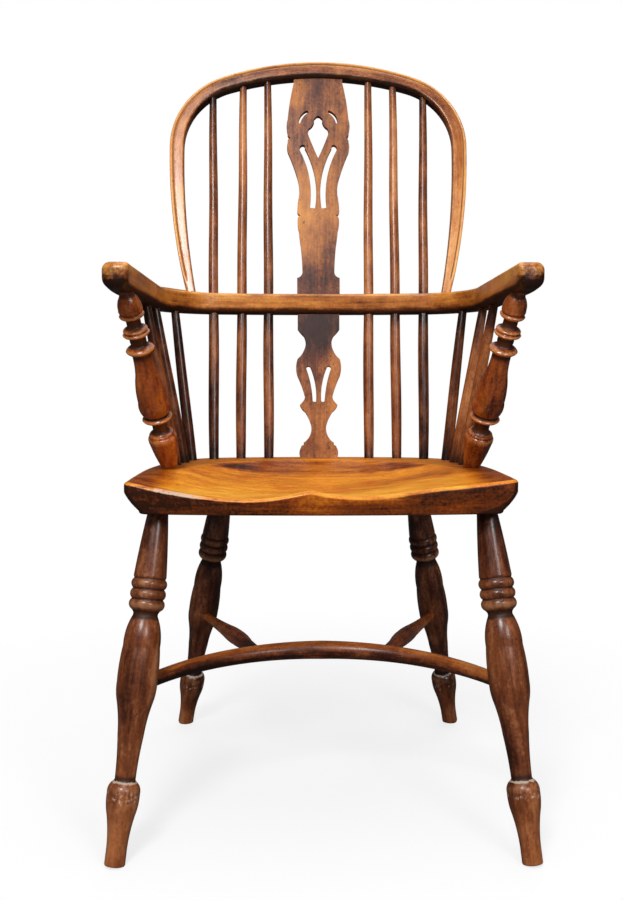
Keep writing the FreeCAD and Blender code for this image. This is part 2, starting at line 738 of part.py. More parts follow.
def arm_line_x(y):
    """Half width of the bow's middle line beside a place on an arm or on a corner."""
    behind = y - corner_y
    if float(behind) < 0:
        return size("arm_half_span")
    radius = size("arm_corner_radius")
    return corner_x + (radius * radius - behind * behind).root()


arm_normal = (Size.of(0), size("arm_slope") * 100, Size.of(100))


def make_arm_bow():
    body = new_body("arm_bow")
    plan = new_sketch(body, "XY_Plane", "arm_bow_plan")
    half = size("arm_width") / 2
    outer_joint, outer_side = arm_edge(half)
    inner_joint, inner_side = arm_edge(-half)
    back = size("arm_back_radius")
    corner = size("arm_corner_radius")
    front = -size("arm_front")
    outer_round = size("hand_outer_round")
    inner_round = size("hand_inner_round")
    inner_cross = rise_of((-inner_joint[0], inner_joint[1]), inner_joint, back - half)
    outer_cross = rise_of((-outer_joint[0], outer_joint[1]), outer_joint, back + half)
    round_rise = 1 - math.sqrt(0.5)
    right = [
        (inner_joint[0], inner_joint[1], -rise_of(inner_joint, inner_side, corner - half)),
        inner_side,
        (inner_side[0], front + inner_round, inner_round * round_rise),
        (inner_side[0] + inner_round, front),
        (outer_side[0] - outer_round, front, outer_round * round_rise),
        (outer_side[0], front + outer_round),
        (outer_side[0], outer_side[1], rise_of(outer_side, outer_joint, corner + half)),
        (outer_joint[0], outer_joint[1], outer_cross),
    ]
    outline(plan, both_sides(right, -inner_cross))
    slab = padded(body, plan, size("arm_thickness"))
    eased = rounded(body, slab, size("arm_under_arris"), lies_at(Size.of(0)))
    rounded(body, eased, size("arm_arris"), lies_at(size("arm_thickness")))
    foot = at(0, 0, arm_level(Size.of(0)))
    stand(body, foot, tuple(f + n for f, n in zip(foot, arm_normal)))
    return body


arm_bow = make_arm_bow()


# Back hoop: a bent arch in its own raked plane, thinned where it enters the arm bow
hoop_foot = at(0, hoop_base, arm_top)
hoop_lean_y = size("hoop_rake")
hoop_lean_z = (size("hoop_height") * size("hoop_height") - hoop_lean_y * hoop_lean_y).root()
hoop_head = at(0, hoop_base + hoop_lean_y, arm_top + hoop_lean_z)


def hoop_crown(half_width, height, shoulder):
    """Radius of the crown that meets the shoulders smoothly, and the point where it meets them."""
    wide = size("hoop_wide_height")
    climb = height - wide
    radius = (2 * half_width * shoulder - half_width * half_width - climb * climb) / (2 * (shoulder - climb))
    share = radius / (radius - shoulder)
    x = (half_width - shoulder) * share
    y = height - radius + (wide - height + radius) * share
    return radius, (x, y)


def hoop_side(half_width, radius, height):
    """Half the hoop's width at a height under its widest line."""
    drop = size("hoop_wide_height") - height
    return half_width - radius + (radius * radius - drop * drop).root()


def arch_band(outer, inner, level):
    """Outline of the band between two arches, open at that level. An arch is given by its half width at
    the widest line, its height, the radius of its shoulders and its half width at the level."""
    wide = size("hoop_wide_height")
    drop = wide - level
    curves = []
    for half_width, height, shoulder, foot in (outer, inner):
        crown, joint = hoop_crown(half_width, height, shoulder)
        spread = half_width - foot
        side = (drop * drop + spread * spread) / (2 * spread)
        start = (foot, level)
        widest = (half_width, wide)
        rises = (
            rise_of(start, widest, side),
            rise_of(widest, joint, shoulder),
            rise_of((-joint[0], joint[1]), joint, crown),
        )
        curves.append((start, widest, joint, rises))
    outer_start, outer_widest, outer_joint, outer_rises = curves[0]
    inner_start, inner_widest, inner_joint, inner_rises = curves[1]
    right = [
        (*inner_joint, -inner_rises[1]),
        (*inner_widest, -inner_rises[0]),
        inner_start,
        (*outer_start, outer_rises[0]),
        (*outer_widest, outer_rises[1]),
        (*outer_joint, outer_rises[2]),
    ]
    return both_sides(right, -inner_rises[2])


def make_hoop():
    body = new_body("back_hoop")
    arch = new_sketch(body, "XZ_Plane", "back_hoop_arch")
    half_width = hoop_half_width
    height = size("hoop_height")
    shoulder = size("hoop_shoulder_radius")
    side = size("hoop_side_radius")
    inner_half = half_width - size("hoop_face")
    below = Size.of(-6)
    outer_foot = hoop_side(half_width, side, below)
    inner_foot = outer_foot - size("hoop_foot_face")
    outer = (half_width, height, shoulder, outer_foot)
    inner = (inner_half, height - size("hoop_crown_face"), size("hoop_inner_shoulder"), inner_foot)
    outline(arch, arch_band(outer, inner, below))
    band = padded(body, arch, size("hoop_depth"), middle=True)
    half_depth = float(size("hoop_depth")) / 2

    def on_a_face(edge):
        return abs(abs(middle_of(edge).y) - half_depth) < 0.01 and edge.Length > 30

    rounded(body, band, size("hoop_arris"), on_a_face)
    groove = new_sketch(body, "XZ_Plane", "back_hoop_groove")
    groove.setExpression("AttachmentOffset.Base.z", "Sizes.hoop_depth / 2")
    end = size("hoop_groove_end")
    edges = []
    for inset in (size("hoop_groove_inset"), size("hoop_groove_inset") + size("hoop_groove_width")):
        foot = hoop_side(half_width - inset, side - inset, end)
        edges.append((half_width - inset, height - inset, shoulder - inset, foot))
    outline(groove, arch_band(edges[0], edges[1], end))
    scratch = body.newObject("PartDesign::Pocket", "back_hoop_scratch")
    scratch.Profile = groove
    scratch.setExpression("Length", "Sizes.hoop_groove_depth")
    stand(body, hoop_foot, hoop_head)
    body.Label = "back_hoop_arch"
    sill = doc.addObject("Part::Box", "back_hoop_sill")
    sill.Length = 800
    sill.Width = 400
    sill.Height = 100
    arm_skin = size("arm_thickness") * (1 + size("arm_slope") * size("arm_slope")).root()
    on_arm = (Size.of(-400), hoop_foot[1] - 200, arm_underside + arm_skin + 200 * size("arm_slope"))
    over_arm = tuple(p + n for p, n in zip(on_arm, arm_normal))
    stand(sill, beyond(over_arm, on_arm, 100), on_arm)
    trimmed = doc.addObject("Part::Cut", "back_hoop_trimmed")
    trimmed.Base = body
    trimmed.Tool = sill
    parts = [trimmed]
    middle = (outer_foot + inner_foot) / 2
    middle_wide = (half_width + inner_half) / 2
    slope = (size("hoop_wide_height") - below) / (side + (middle_wide - half_width))
    lean = length(minus(hoop_head, hoop_foot))
    for hand, way in SIDES:
        foot = (
            Size.of(0) + middle * way,
            hoop_foot[1] + below * hoop_lean_y / lean,
            hoop_foot[2] + below * hoop_lean_z / lean,
        )
        above = (
            foot[0] + slope * 12 * way,
            foot[1] + 12 * hoop_lean_y / lean,
            foot[2] + 12 * hoop_lean_z / lean,
        )
        start = beyond(above, foot, size("hoop_tenon") - 6)
        tenon = doc.addObject("Part::Cylinder", "back_hoop_tenon")
        tenon.setExpression("Radius", size("hoop_tenon_radius").text)
        tenon.setExpression("Height", length(minus(above, start)).text)
        stand(tenon, start, above)
        parts.append(tenon)
        bottom = beyond(above, start, clearance)
        bore("arm_bow", size("hoop_tenon_radius"), bottom, beyond(start, above, 10))
    hoop = doc.addObject("Part::MultiFuse", "back_hoop")
    hoop.Shapes = parts
    hoop.Label = "back_hoop"
    return hoop


hoop = make_hoop()


def hoop_middle(x):
    """The point of the hoop's middle line above that half width."""
    shoulder = (size("hoop_shoulder_radius") + size("hoop_inner_shoulder")) / 2
    wide = size("hoop_wide_height")
    outer = hoop_half_width - size("hoop_face") / 2
    top = size("hoop_height") - size("hoop_crown_face") / 2
    crown, joint = hoop_crown(outer, top, shoulder)
    if float(x) < float(joint[0]):
        height = top - crown + (crown * crown - x * x).root()
    else:
        inward = x - (outer - shoulder)
        height = wide + (shoulder * shoulder - inward * inward).root()
    share = height / size("hoop_height")
    return (x, hoop_foot[1] + hoop_lean_y * share, hoop_foot[2] + hoop_lean_z * share)


# Long sticks: from the seat, through the arm bow, up into the hoop
def long_stick_profile(start, end):
    whole = length(minus(end, start))
    per_height = whole / (end[2] - start[2])
    enter = (arm_underside - start[2]) * per_height - 4
    leave = (arm_top - start[2]) * per_height + 4
    foot = size("stick_foot_radius")
    arm = size("stick_arm_radius")
    head = size("stick_head_radius")
    return [
        (0, -size("stick_tenon")),
        (foot, -size("stick_tenon")),
        (foot, 3, size("stick_swell")),
        (arm, enter),
        (arm, leave, 0.3),
        (head, whole - 20),
        (head, whole),
        (0, whole),
    ]


sticks = {}
for hand, side in SIDES:
    for number, place in enumerate(("near", "middle", "far"), start=1):
        start = at(size(f"stick_{place}_x"), size("seat_back") - size(f"stick_{place}_setback"), seat_top)
        start = on_side(start, side)
        end = on_side(hoop_middle(size(f"stick_{place}_top")), side)
        label = f"back_stick_{hand}_{number}"
        sticks[label] = turned(label, long_stick_profile(start, end), start, end)
        bottom = beyond(end, start, size("stick_tenon") + clearance)
        bore("seat", size("stick_foot_radius"), bottom, beyond(end, start, -15))
        below_arm = at_height(start, end, arm_underside - 3)
        above_arm = at_height(start, end, arm_top + 3)
        bore("arm_bow", size("stick_arm_radius"), below_arm, above_arm)
        bore("back_hoop", size("stick_head_radius"), beyond(start, end, -30), beyond(start, end, clearance))


# Short sticks: three to each arm, from the seat up into the arm bow's underside
def short_stick_profile(whole):
    foot = size("side_stick_foot_radius")
    head = size("side_stick_head_radius")
    return [
        (0, -size("stick_tenon")),
        (foot, -size("stick_tenon")),
        (foot, 3, size("stick_swell")),
        (head, whole - 4),
        (head, whole + size("stick_tenon")),
        (0, whole + size("stick_tenon")),
    ]


for hand, side in SIDES:
    for number, place in enumerate(("back", "middle", "front"), start=1):
        foot_x = size("seat_side_half_width") - size(f"side_{place}_inset")
        start = on_side(at(foot_x, size(f"side_{place}_foot_y"), seat_top), side)
        head_y = size(f"side_{place}_head_y")
        head_x = arm_line_x(head_y) - size(f"side_{place}_head_inset")
        end = on_side(at(head_x, head_y, arm_level(head_y)), side)
        label = f"arm_stick_{hand}_{number}"
        sticks[label] = turned(label, short_stick_profile(length(minus(end, start))), start, end)
        deep = size("stick_tenon") + clearance
        bore("seat", size("side_stick_foot_radius"), beyond(end, start, deep), beyond(end, start, -15))
        bore("arm_bow", size("side_stick_head_radius"), beyond(start, end, -15), beyond(start, end, deep))


# Splats: two fretted boards in one raked plane, below and above the arm bow
splat_foot = at(0, size("seat_back") - size("splat_setback"), seat_top)
splat_head = hoop_middle(Size.of(0))
splat_rake = length(minus(splat_head, splat_foot)) / (splat_head[2] - splat_foot[2])


def make_splat(label, start, end, edge, piercings):
    """A board whose outline and piercings are drawn in its own plane, with height measured from its foot."""
    body = new_body(label)
    board = new_sketch(body, "XZ_Plane", label + "_edge")
    outline(board, both_sides(edge))
    padded(body, board, size("splat_thickness"), middle=True)
    fret = new_sketch(body, "XZ_Plane", label + "_fret")
    for piercing in piercings:
        outline(fret, piercing)
    pocket = body.newObject("PartDesign::Pocket", label + "_piercings")
    pocket.Profile = fret
    pocket.Type = "ThroughAll"
    pocket.Midplane = True
    stand(body, start, end)
    return body


def lower_splat():
    top = (arm_underside - seat_top) * splat_rake
    tenon = size("splat_tenon")
    edge = [
        (29.6, -tenon),
        (29.6, 2.0, 1.6),
        (28.0, 16.5, 1.2),
        (23.8, 20.0),
        (23.8, 24.0, -1.2),
        (13.9, 35.5, -1.5),
        (12.4, 53.0, -0.8),
        (21.5, 72.5, 1.2),
        (29.8, 83.5),
        (23.5, 91.0, -0.9),
        (22.4, 99.5, -0.8),
        (33.4, 129.5, 2.3),
        (33.4, 157.5, -1.2),
        (23.4, 171.0, -2.8),
        (23.4, 194.0, 0.4),
        (33.2, top - 26.5),
        (33.2, top + tenon),
    ]
    slot = [
        (4.0, 89.6, 1.0),
        (9.4, 90.0, -2.0),
        (19.6, 142.0, 2.6),
        (13.2, 144.5, 3.2),
    ]
    start = splat_foot
    end = at_height(splat_foot, splat_head, arm_underside)
    mortise("seat", Size.of(29.6), beyond(end, start, tenon + clearance), beyond(end, start, -20))
    mortise("arm_bow", Size.of(33.2), beyond(start, end, -8), beyond(start, end, tenon + clearance))
    return make_splat("splat_lower", start, end, edge, [slot, mirrored(slot)])


def upper_splat():
    start = at_height(splat_foot, splat_head, arm_top)
    whole = length(minus(splat_head, start))
    tenon = size("splat_tenon")
    top = whole - 4
    edge = [
        (34.0, -tenon),
        (34.0, 26.0, -2.0),
        (25.6, 34.5, -0.6),
        (28.4, 78.5, 0.3),
        (31.2, 102.5, 1.0),
        (33.2, 122.5, 1.2),
        (28.6, 128.5, 1.4),
        (33.9, 135.5, 0.6),
        (30.8, 162.5, -1.6),
        (34.8, 194.5, -0.6),
        (47.6, 230.5, 2.0),
        (49.3, 250.5, 1.6),
        (45.0, 258.0, 1.6),
        (49.7, 266.5, 1.6),
        (49.5, 288.5, 1.2),
        (39.6, top - 16),
        (39.6, top),
    ]
    drop = [
        (0, 223.9, 0.4),
        (15.2, 261.0, 1.6),
        (14.8, 274.0, -1.8),
        (6.4, 286.5, 1.4),
        (4.6, 291.8, 3.0),
    ]
    slot = [
        (5.4, 140.3),
        (13.6, 141.5, -7.6),
        (29.5, 236.5, 2.6),
        (25.6, 246.0, 2.0),
        (21.8, 241.0, 8.4),
    ]
    crescent = [
        (31.5, 283.5, 4.0),
        (18.0, 304.0, 0.8),
        (16.0, 300.5, -2.2),
        (28.9, 283.1, 0.8),
    ]
    bottom = beyond(splat_head, start, tenon + clearance)
    mortise("arm_bow", Size.of(34.0), bottom, beyond(splat_head, start, -8))
    head = between(start, splat_head, (top + clearance) / whole)
    mortise("back_hoop", Size.of(39.6), between(start, splat_head, (top - 30) / whole), head)
    piercings = [both_sides(drop), slot, mirrored(slot), crescent, mirrored(crescent)]
    return make_splat("splat_upper", start, splat_head, edge, piercings)


splats = {"splat_lower": lower_splat(), "splat_upper": upper_splat()}


# Seat: a thick plank with a bevelled underside, dished by the saddle and bored for all that stands in it
def corner_of(first, second, radius):
    """A corner of that radius between two wider circles, given as (centre, radius), that it touches from
    inside: its touching points on the first and on the second."""
    (ax, ay), a_radius = first
    (bx, by), b_radius = second
    dx = bx - ax
    dy = by - ay
    apart = dx * dx + dy * dy
    a_reach = a_radius - radius
    b_reach = b_radius - radius
    along = (a_reach * a_reach - b_reach * b_reach + apart) / (2 * apart)
    across = (a_reach * a_reach / apart - along * along).root()
    x = ax + dx * along - dy * across
    y = ay + dy * along + dx * across
    on_first = (ax + (x - ax) * a_radius / a_reach, ay + (y - ay) * a_radius / a_reach)
    on_second = (bx + (x - bx) * b_radius / b_reach, by + (y - by) * b_radius / b_reach)
    return on_first, on_second


def seat_plan(inset_side, inset_front, front_corner):
    """The plank's outline, drawn in by the two insets: flat curves at the front, sides and back, joined
    by corners."""
    side_y = -size("seat_widest_forward")
    side_x = size("seat_side_half_width")
    front = size("seat_front_radius") - inset_front
    front_curve = ((Size.of(0), size("seat_front_radius") - size("seat_front")), front)
    before = size("seat_side_front_radius")
    before_curve = ((side_x - before, side_y), before - inset_side)
    behind = size("seat_side_rear_radius")
    behind_curve = ((side_x - behind, side_y), behind - inset_side)
    back = size("seat_back_radius")
    back_curve = ((Size.of(0), size("seat_back") - back), back - inset_side)
    rear_corner = size("seat_rear_corner") - inset_side
    front_end, side_start = corner_of(front_curve, before_curve, front_corner)
    side_end, back_start = corner_of(behind_curve, back_curve, rear_corner)
    widest = (side_x - inset_side, side_y)
    right = [
        (*front_end, rise_of(front_end, side_start, front_corner)),
        (*side_start, rise_of(side_start, widest, before_curve[1])),
        (*widest, rise_of(widest, side_end, behind_curve[1])),
        (*side_end, rise_of(side_end, back_start, rear_corner)),
        (*back_start, rise_of((-back_start[0], back_start[1]), back_start, back_curve[1])),
    ]
    return both_sides(right, rise_of((-front_end[0], front_end[1]), front_end, front))


def saddle_height(x, y):
    """Height of the dish's surface over the rim: the pommel's ridge less a bowl that is open to the front."""
    front_half = float(size("seat_side_half_width") - size("saddle_front_rim"))
    side_half = float(size("seat_side_half_width") - size("saddle_side_rim"))
    blend = min(1.0, max(0.0, (y + 150.0) / 140.0))
    blend = blend * blend * (3 - 2 * blend)
    half = front_half + (side_half - front_half) * blend
    behind = max(0.0, y + float(size("saddle_line"))) / float(size("saddle_reach"))
    bowl = float(size("saddle_depth")) * (1 - (x / half) ** 2 - behind ** 2)
    ridge_across = math.exp(-((x / float(size("pommel_half_width"))) ** 2))
    ridge_along = math.exp(-(((y + float(size("seat_front"))) / float(size("pommel_length"))) ** 2))
    return float(size("pommel_height")) * ridge_across * ridge_along - bowl


def make_saddle():
    """The room above the dished surface, which is a smooth surface through a grid of its heights."""
    spare = 25
    half = float(size("seat_side_half_width")) + spare
    near = -float(size("seat_front")) - spare
    far = float(size("seat_back")) + spare
    across, deep = 15, 13
    grid = []
    for i in range(across):
        x = -half + 2 * half * i / (across - 1)
        column = []
        for j in range(deep):
            y = near + (far - near) * j / (deep - 1)
            column.append(Vector(x, y, saddle_height(x, y)))
        grid.append(column)
    surface = Part.BSplineSurface()
    surface.interpolate(grid)
    room = doc.addObject("Part::Feature", "saddle_room")
    room.Shape = surface.toShape().extrude(Vector(0, 0, 120))
    room.Placement = Placement(Vector(0, -float(size("datum_forward")), float(seat_top)), Rotation())
    return room


def make_seat():
    body = new_body("seat_plank")
    corners = (size("seat_under_corner"), size("seat_under_corner"), size("seat_front_corner"))
    levels = (Size.of(0), size("seat_bevel_middle"), size("seat_thickness") - size("seat_wall"))
    insets = (
        (size("seat_bevel_side"), size("seat_bevel_front")),
        (size("seat_bevel_middle_side"), size("seat_bevel_middle_front")),
        (Size.of(0), Size.of(0)),
    )
    sections = []
    for name, level, inset, corner in zip(("bottom", "middle", "widest"), levels, insets, corners):
        section = new_sketch(body, "XY_Plane", "seat_" + name)
        section.setExpression("AttachmentOffset.Base.z", level.text)
        outline(section, seat_plan(inset[0], inset[1], corner))
        sections.append(section)
    bevel = body.newObject("PartDesign::AdditiveLoft", "seat_bevel")
    bevel.Profile = sections[0]
    bevel.Sections = sections[1:]
    bevel.Ruled = True
    rim = padded(body, sections[2], size("seat_wall"))
    rounded(body, rim, size("seat_arris"), lies_at(Size.of(0), size("seat_thickness")))
    foot = at(0, 0, size("seat_underside"))
    stand(body, foot, at(0, 0, seat_top))
    saddled = doc.addObject("Part::Cut", "seat_saddled")
    saddled.Base = body
    saddled.Tool = make_saddle()
    doc.recompute()
    if saddled.Shape.Volume > 0.95 * body.Shape.Volume:
        raise RuntimeError("the seat is not dished")
    return saddled


blanks = {"seat": make_seat(), "stretcher_bow": bow, "arm_bow": arm_bow, "back_hoop": hoop}
blanks.update({label: leg[0] for label, leg in legs.items()})
blanks.update(spurs)
blanks.update(supports)
blanks.update(sticks)
blanks.update(splats)
subparts = {label: finished(label, blank, holes.get(label, [])) for label, blank in blanks.items()}

doc.recompute()
failed = [o.Label for o in doc.Objects if {"Invalid", "Error"} & set(o.State)]
if failed:
    raise RuntimeError("not built: " + ", ".join(failed))
for label, piece in subparts.items():
    if piece.Shape.isNull() or not piece.Shape.isValid():
        raise RuntimeError(label + " has no valid shape")
os.makedirs("parts", exist_ok=True)
for label, piece in subparts.items():
    piece.Shape.exportStep(f"parts/{label}.step")
    print(label, len(piece.Shape.Solids), "solid", round(piece.Shape.Volume / 1000.0, 1), "cm3")
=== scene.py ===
import math

import bpy
import bmesh
import numpy as np
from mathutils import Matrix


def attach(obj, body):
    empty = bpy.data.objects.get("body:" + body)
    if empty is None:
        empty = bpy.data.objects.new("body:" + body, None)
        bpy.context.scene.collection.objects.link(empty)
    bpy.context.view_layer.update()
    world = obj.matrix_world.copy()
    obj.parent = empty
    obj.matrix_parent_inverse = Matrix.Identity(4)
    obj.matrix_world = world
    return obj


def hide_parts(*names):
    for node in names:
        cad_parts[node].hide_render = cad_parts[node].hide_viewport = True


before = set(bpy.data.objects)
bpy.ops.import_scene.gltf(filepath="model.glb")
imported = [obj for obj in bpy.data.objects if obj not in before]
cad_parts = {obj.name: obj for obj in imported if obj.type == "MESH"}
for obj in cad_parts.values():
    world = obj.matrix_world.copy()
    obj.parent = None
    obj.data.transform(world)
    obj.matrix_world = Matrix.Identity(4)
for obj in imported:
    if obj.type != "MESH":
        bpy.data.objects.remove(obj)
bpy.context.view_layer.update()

# Lengths are in millimetres until a mesh is made, where MM turns them into metres. Heights are above the
# floor, and y is measured from the seat's datum line, DATUM in front of the origin. The left is at +x.
MM = 0.001
DATUM = 36.7
SEAT_UNDERSIDE = 414.0
SEAT_THICKNESS = 38.0
SEAT_TOP = SEAT_UNDERSIDE + SEAT_THICKNESS
ARM_TOP = 711.0
ARM_THICKNESS = 30.5
ARM_UNDERSIDE = ARM_TOP - ARM_THICKNESS
ARM_SLOPE = 0.018  # how much the arms rise for each millimetre forward
HOOP_BASE = 203.0  # the y at which the hoop stands on the arm bow
SIDES = (("left", 1), ("right", -1))
random = np.random.default_rng(7)


# Shader maths

class Num:
    """A value that varies over a surface. The operators add Math nodes."""

    def __init__(self, shade, socket):
        self.shade = shade
        self.socket = socket

    def maths(self, operation, first, second=None):
        """A Math node of that operation on one value or on two."""
        inputs = {0: first} if second is None else {0: first, 1: second}
        return self.shade.add("ShaderNodeMath", {"operation": operation}, inputs)

    def __add__(self, other):
        return self.maths("ADD", self, other)

    def __radd__(self, other):
        return self.maths("ADD", other, self)

    def __sub__(self, other):
        return self.maths("SUBTRACT", self, other)

    def __rsub__(self, other):
        return self.maths("SUBTRACT", other, self)

    def __mul__(self, other):
        return self.maths("MULTIPLY", self, other)

    def __rmul__(self, other):
        return self.maths("MULTIPLY", other, self)

    def __truediv__(self, other):
        return self.maths("DIVIDE", self, other)

    def __abs__(self):
        return self.maths("ABSOLUTE", self)

    def clamped(self):
        """The value kept between 0 and 1."""
        return self.shade.add("ShaderNodeClamp", {}, {"Value": self})

    def step(self, low, high):
        """0 below low, 1 above high and a smooth step between them."""
        inputs = {"Value": self, "From Min": low, "From Max": high}
        return self.shade.add("ShaderNodeMapRange", {"interpolation_type": "SMOOTHSTEP"}, inputs)


class Shade:
    """The nodes of a material or of the world. One method adds any node: its settings, then its sockets."""

    def __init__(self, owner):
        self.owner = owner
        owner.use_nodes = True
        self.tree = owner.node_tree
        self.tree.nodes.clear()

    def add(self, kind, settings, inputs, output=0):
        """A node of that kind; a value that varies is linked to its socket and any other is set on it."""
        node = self.tree.nodes.new(kind)
        for key, value in settings.items():
            if key == "stops":
                self.stops(node.color_ramp, value)
            else:
                setattr(node, key, value)
        for key, value in inputs.items():
            if isinstance(value, Num):
                self.tree.links.new(value.socket, node.inputs[key])
            else:
                node.inputs[key].default_value = value
        return Num(self, node.outputs[output]) if node.outputs else None

    def stops(self, ramp, stops):
        """The stops of a colour ramp, each a position from 0 to 1 and its colour."""
        while len(ramp.elements) < len(stops):
            ramp.elements.new(0.5)
        for element, (position, shown) in zip(ramp.elements, stops):
            element.position = position
            element.color = shown

    def noise(self, vector, scale, detail, roughness, distortion=0.0):
        """Noise round 0.5, of that many waves to a metre of the vector."""
        return self.add("ShaderNodeTexNoise", {}, {
            "Vector": vector, "Scale": scale, "Detail": detail, "Roughness": roughness,
            "Distortion": distortion})

    def drawn_out(self, grain, across, along, detail, roughness, distortion=0.0):
        """Noise that is drawn out along the grain: so many waves to a metre across it and along it."""
        scales = (across, across, along)
        vector = self.add("ShaderNodeVectorMath", {"operation": "MULTIPLY"}, {0: grain, 1: scales})
        return self.noise(vector, 1.0, detail, roughness, distortion)

    def mixed(self, factor, first, second, blend="MIX"):
        """The first colour, and as much of the second over it as the factor says."""
        settings = {"data_type": "RGBA", "blend_type": blend}
        return self.add("ShaderNodeMix", settings, {0: factor, 6: first, 7: second}, output=2)


def colour(red, green, blue):
    """A colour written as it shows on a screen, from 0 to 255, in the shader's own scale: a straight line
    near black and a power of 2.4 above it."""
    shown = np.array([red, green, blue]) / 255.0
    linear = np.where(shown <= 0.04045, shown / 12.92, ((shown + 0.055) / 1.055) ** 2.4)
    return (*[float(c) for c in linear], 1.0)


OLD_POLISH = colour(116, 40, 22)
CHALK = colour(190, 172, 152)


def wood(name, colours, figure, gloss, coat, shine=0.35, clouded=1.0, scuffed=0.0, dark_levels=()):
    """Waxed old wood in five colours: dark, middle, light, worn and grimy, the last also for painted shade.
    Its tone is the middle, plus bands, streaks and fibres drawn out along the grain, plus clouds of old
    polish, less the stains and painted shade. A ramp turns the tone into a colour, and worn patches with
    some painted light, pores, dirty patches with painted shade, chalk and nicks are laid over it in turn.
    The mesh says in its marks where it is worn and painted light, dirty and painted shade, and chalky, and
    how much stains and painted shade darken it. dark_levels gives heights where it is darker, or lighter:
    each height, its spread and its amount."""
    dark, middle, light, worn, grime_and_shade = (colour(*shown) for shown in colours)
    shade = Shade(bpy.data.materials.new(name))
    grain, marks, stained = (
        shade.add("ShaderNodeAttribute", {"attribute_name": label}, {}, output=kind)
        for label, kind in (("grain", 1), ("marks", 1), ("stained", 2)))
    wear_and_highlight, dirt_and_shade, chalk = (shade.add("ShaderNodeSeparateXYZ", {}, {0: marks}, output=k) for k in range(3))
    place = shade.add("ShaderNodeTexCoord", {}, {}, output=3)

    # Figure of the wood: soft bands, streaks, fibres and open pores
    bands = shade.drawn_out(grain, 75.0, 2.5, 2.0, 0.5, 0.6)
    streaks = shade.drawn_out(grain, 260.0, 7.0, 4.0, 0.62)
    fibres = shade.drawn_out(grain, 1100.0, 24.0, 3.0, 0.6)
    pores = shade.drawn_out(grain, 1700.0, 70.0, 1.0, 0.5).step(0.66, 0.76)
    figured = 0.9 * (bands - 0.5) + 1.1 * (streaks - 0.5) + 0.5 * (fibres - 0.5)

    # Clouds and blotches of old polish
    cloud = shade.drawn_out(grain, 15.0, 5.0, 4.0, 0.6)
    blotch = shade.drawn_out(grain, 70.0, 26.0, 4.0, 0.66)
    speckle = shade.noise(place, 260.0, 3.0, 0.6)
    polish = 1.25 * (cloud - 0.5) + 0.8 * (blotch - 0.5)
    tone = 0.5 + figure * figured + clouded * polish + 0.4 * (speckle - 0.5) - 0.55 * stained
    if dark_levels:
        height = shade.add("ShaderNodeSeparateXYZ", {}, {0: place}, output=2)
        for level, spread, amount in dark_levels:
            tone = tone - amount * (1 - abs(height - level) / spread).clamped()
    stops = [(0.0, grime_and_shade), (0.24, dark), (0.56, middle), (0.92, light)]
    base = shade.add("ShaderNodeValToRGB", {"stops": stops}, {0: tone})
    tint = shade.noise(place, 23.0, 2.0, 0.5).step(0.5, 0.72)
    base = shade.mixed(tint * 0.3, base, OLD_POLISH, "OVERLAY")

    # Worn crests and edges and rubbed patches, in places painted light; open pores; dirt in the hollows, in
    # places painted shade
    rubbed_and_lit = (wear_and_highlight * 1.15 + 1.5 * (blotch - 0.5) + 0.6 * (streaks - 0.5)).step(0.3, 1.05)
    base = shade.mixed(rubbed_and_lit * 0.6, base, worn)
    scuffs = (blotch * 0.6 + cloud * 0.4 + 0.25 * (speckle - 0.5)).step(0.5, 0.66)
    base = shade.mixed(scuffs * scuffed, base, worn)
    base = shade.mixed(pores * 0.4, base, grime_and_shade)
    dust_and_shade = (dirt_and_shade * 1.1 + 1.3 * (blotch - 0.5)).step(0.2, 0.95)
    base = shade.mixed(dust_and_shade * 0.8, base, grime_and_shade)

    # Chalky scuffs and small dark nicks
    chalky = (chalk * 0.8 + 0.9 * (speckle - 0.5) + 0.6 * (blotch - 0.5)).step(0.5, 0.72)
    base = shade.mixed(chalky * 0.75, base, CHALK)
    nicks = shade.noise(place, 150.0, 1.0, 0.4).step(0.73, 0.765)
    base = shade.mixed(nicks * 0.55, base, grime_and_shade)

    rough = gloss + 0.24 * (blotch - 0.45) + 0.12 * pores + 0.08 * dust_and_shade
    rough = rough + 0.1 * dirt_and_shade + 0.3 * chalky + 0.12 * scuffs
    height = 0.4 * fibres + 0.3 * streaks - 0.6 * pores - 1.4 * nicks + 0.5 * (blotch - 0.5)
    bump = shade.add("ShaderNodeBump", {}, {"Height": height, "Strength": 0.4, "Distance": 0.0006})
    surface = shade.add("ShaderNodeBsdfPrincipled", {}, {
        "Base Color": base, "Roughness": rough.clamped(), "Normal": bump,
        "Coat Weight": coat * (1 - dirt_and_shade).clamped(), "Coat Roughness": 0.2, "Specular IOR Level": shine})
    shade.add("ShaderNodeOutputMaterial", {}, {"Surface": surface})
    return shade.owner


SEAT_WOOD = wood(
    "seat_wood", ((140, 62, 8), (220, 130, 22), (250, 184, 50), (250, 186, 66), (48, 21, 8)),
    figure=0.35, clouded=0.5, gloss=0.32, coat=0.12, shine=0.2)
LEG_WOOD = wood(
    "leg_wood", ((66, 29, 13), (116, 60, 29), (164, 98, 54), (162, 112, 76), (28, 12, 6)),
    figure=0.5, gloss=0.32, coat=0.25, scuffed=0.3)
SUPPORT_WOOD = wood(
    "support_wood", ((74, 29, 11), (142, 68, 24), (190, 108, 44), (196, 124, 66), (28, 11, 6)),
    figure=0.4, gloss=0.24, coat=0.45, scuffed=0.06)
ARM_WOOD = wood(
    "arm_wood", ((112, 56, 18), (178, 108, 40), (220, 154, 70), (224, 160, 80), (38, 16, 8)),
    figure=0.5, gloss=0.32, coat=0.2, scuffed=0.12)
HOOP_WOOD = wood(
    "hoop_wood", ((108, 54, 24), (170, 100, 46), (212, 148, 88), (226, 160, 74), (38, 17, 9)),
    figure=0.5, gloss=0.26, coat=0.35, scuffed=0.1)
STICK_WOOD = wood(
    "stick_wood", ((82, 40, 20), (146, 84, 43), (192, 126, 72), (190, 130, 80), (34, 15, 8)),
    figure=0.6, gloss=0.3, coat=0.25, scuffed=0.1)
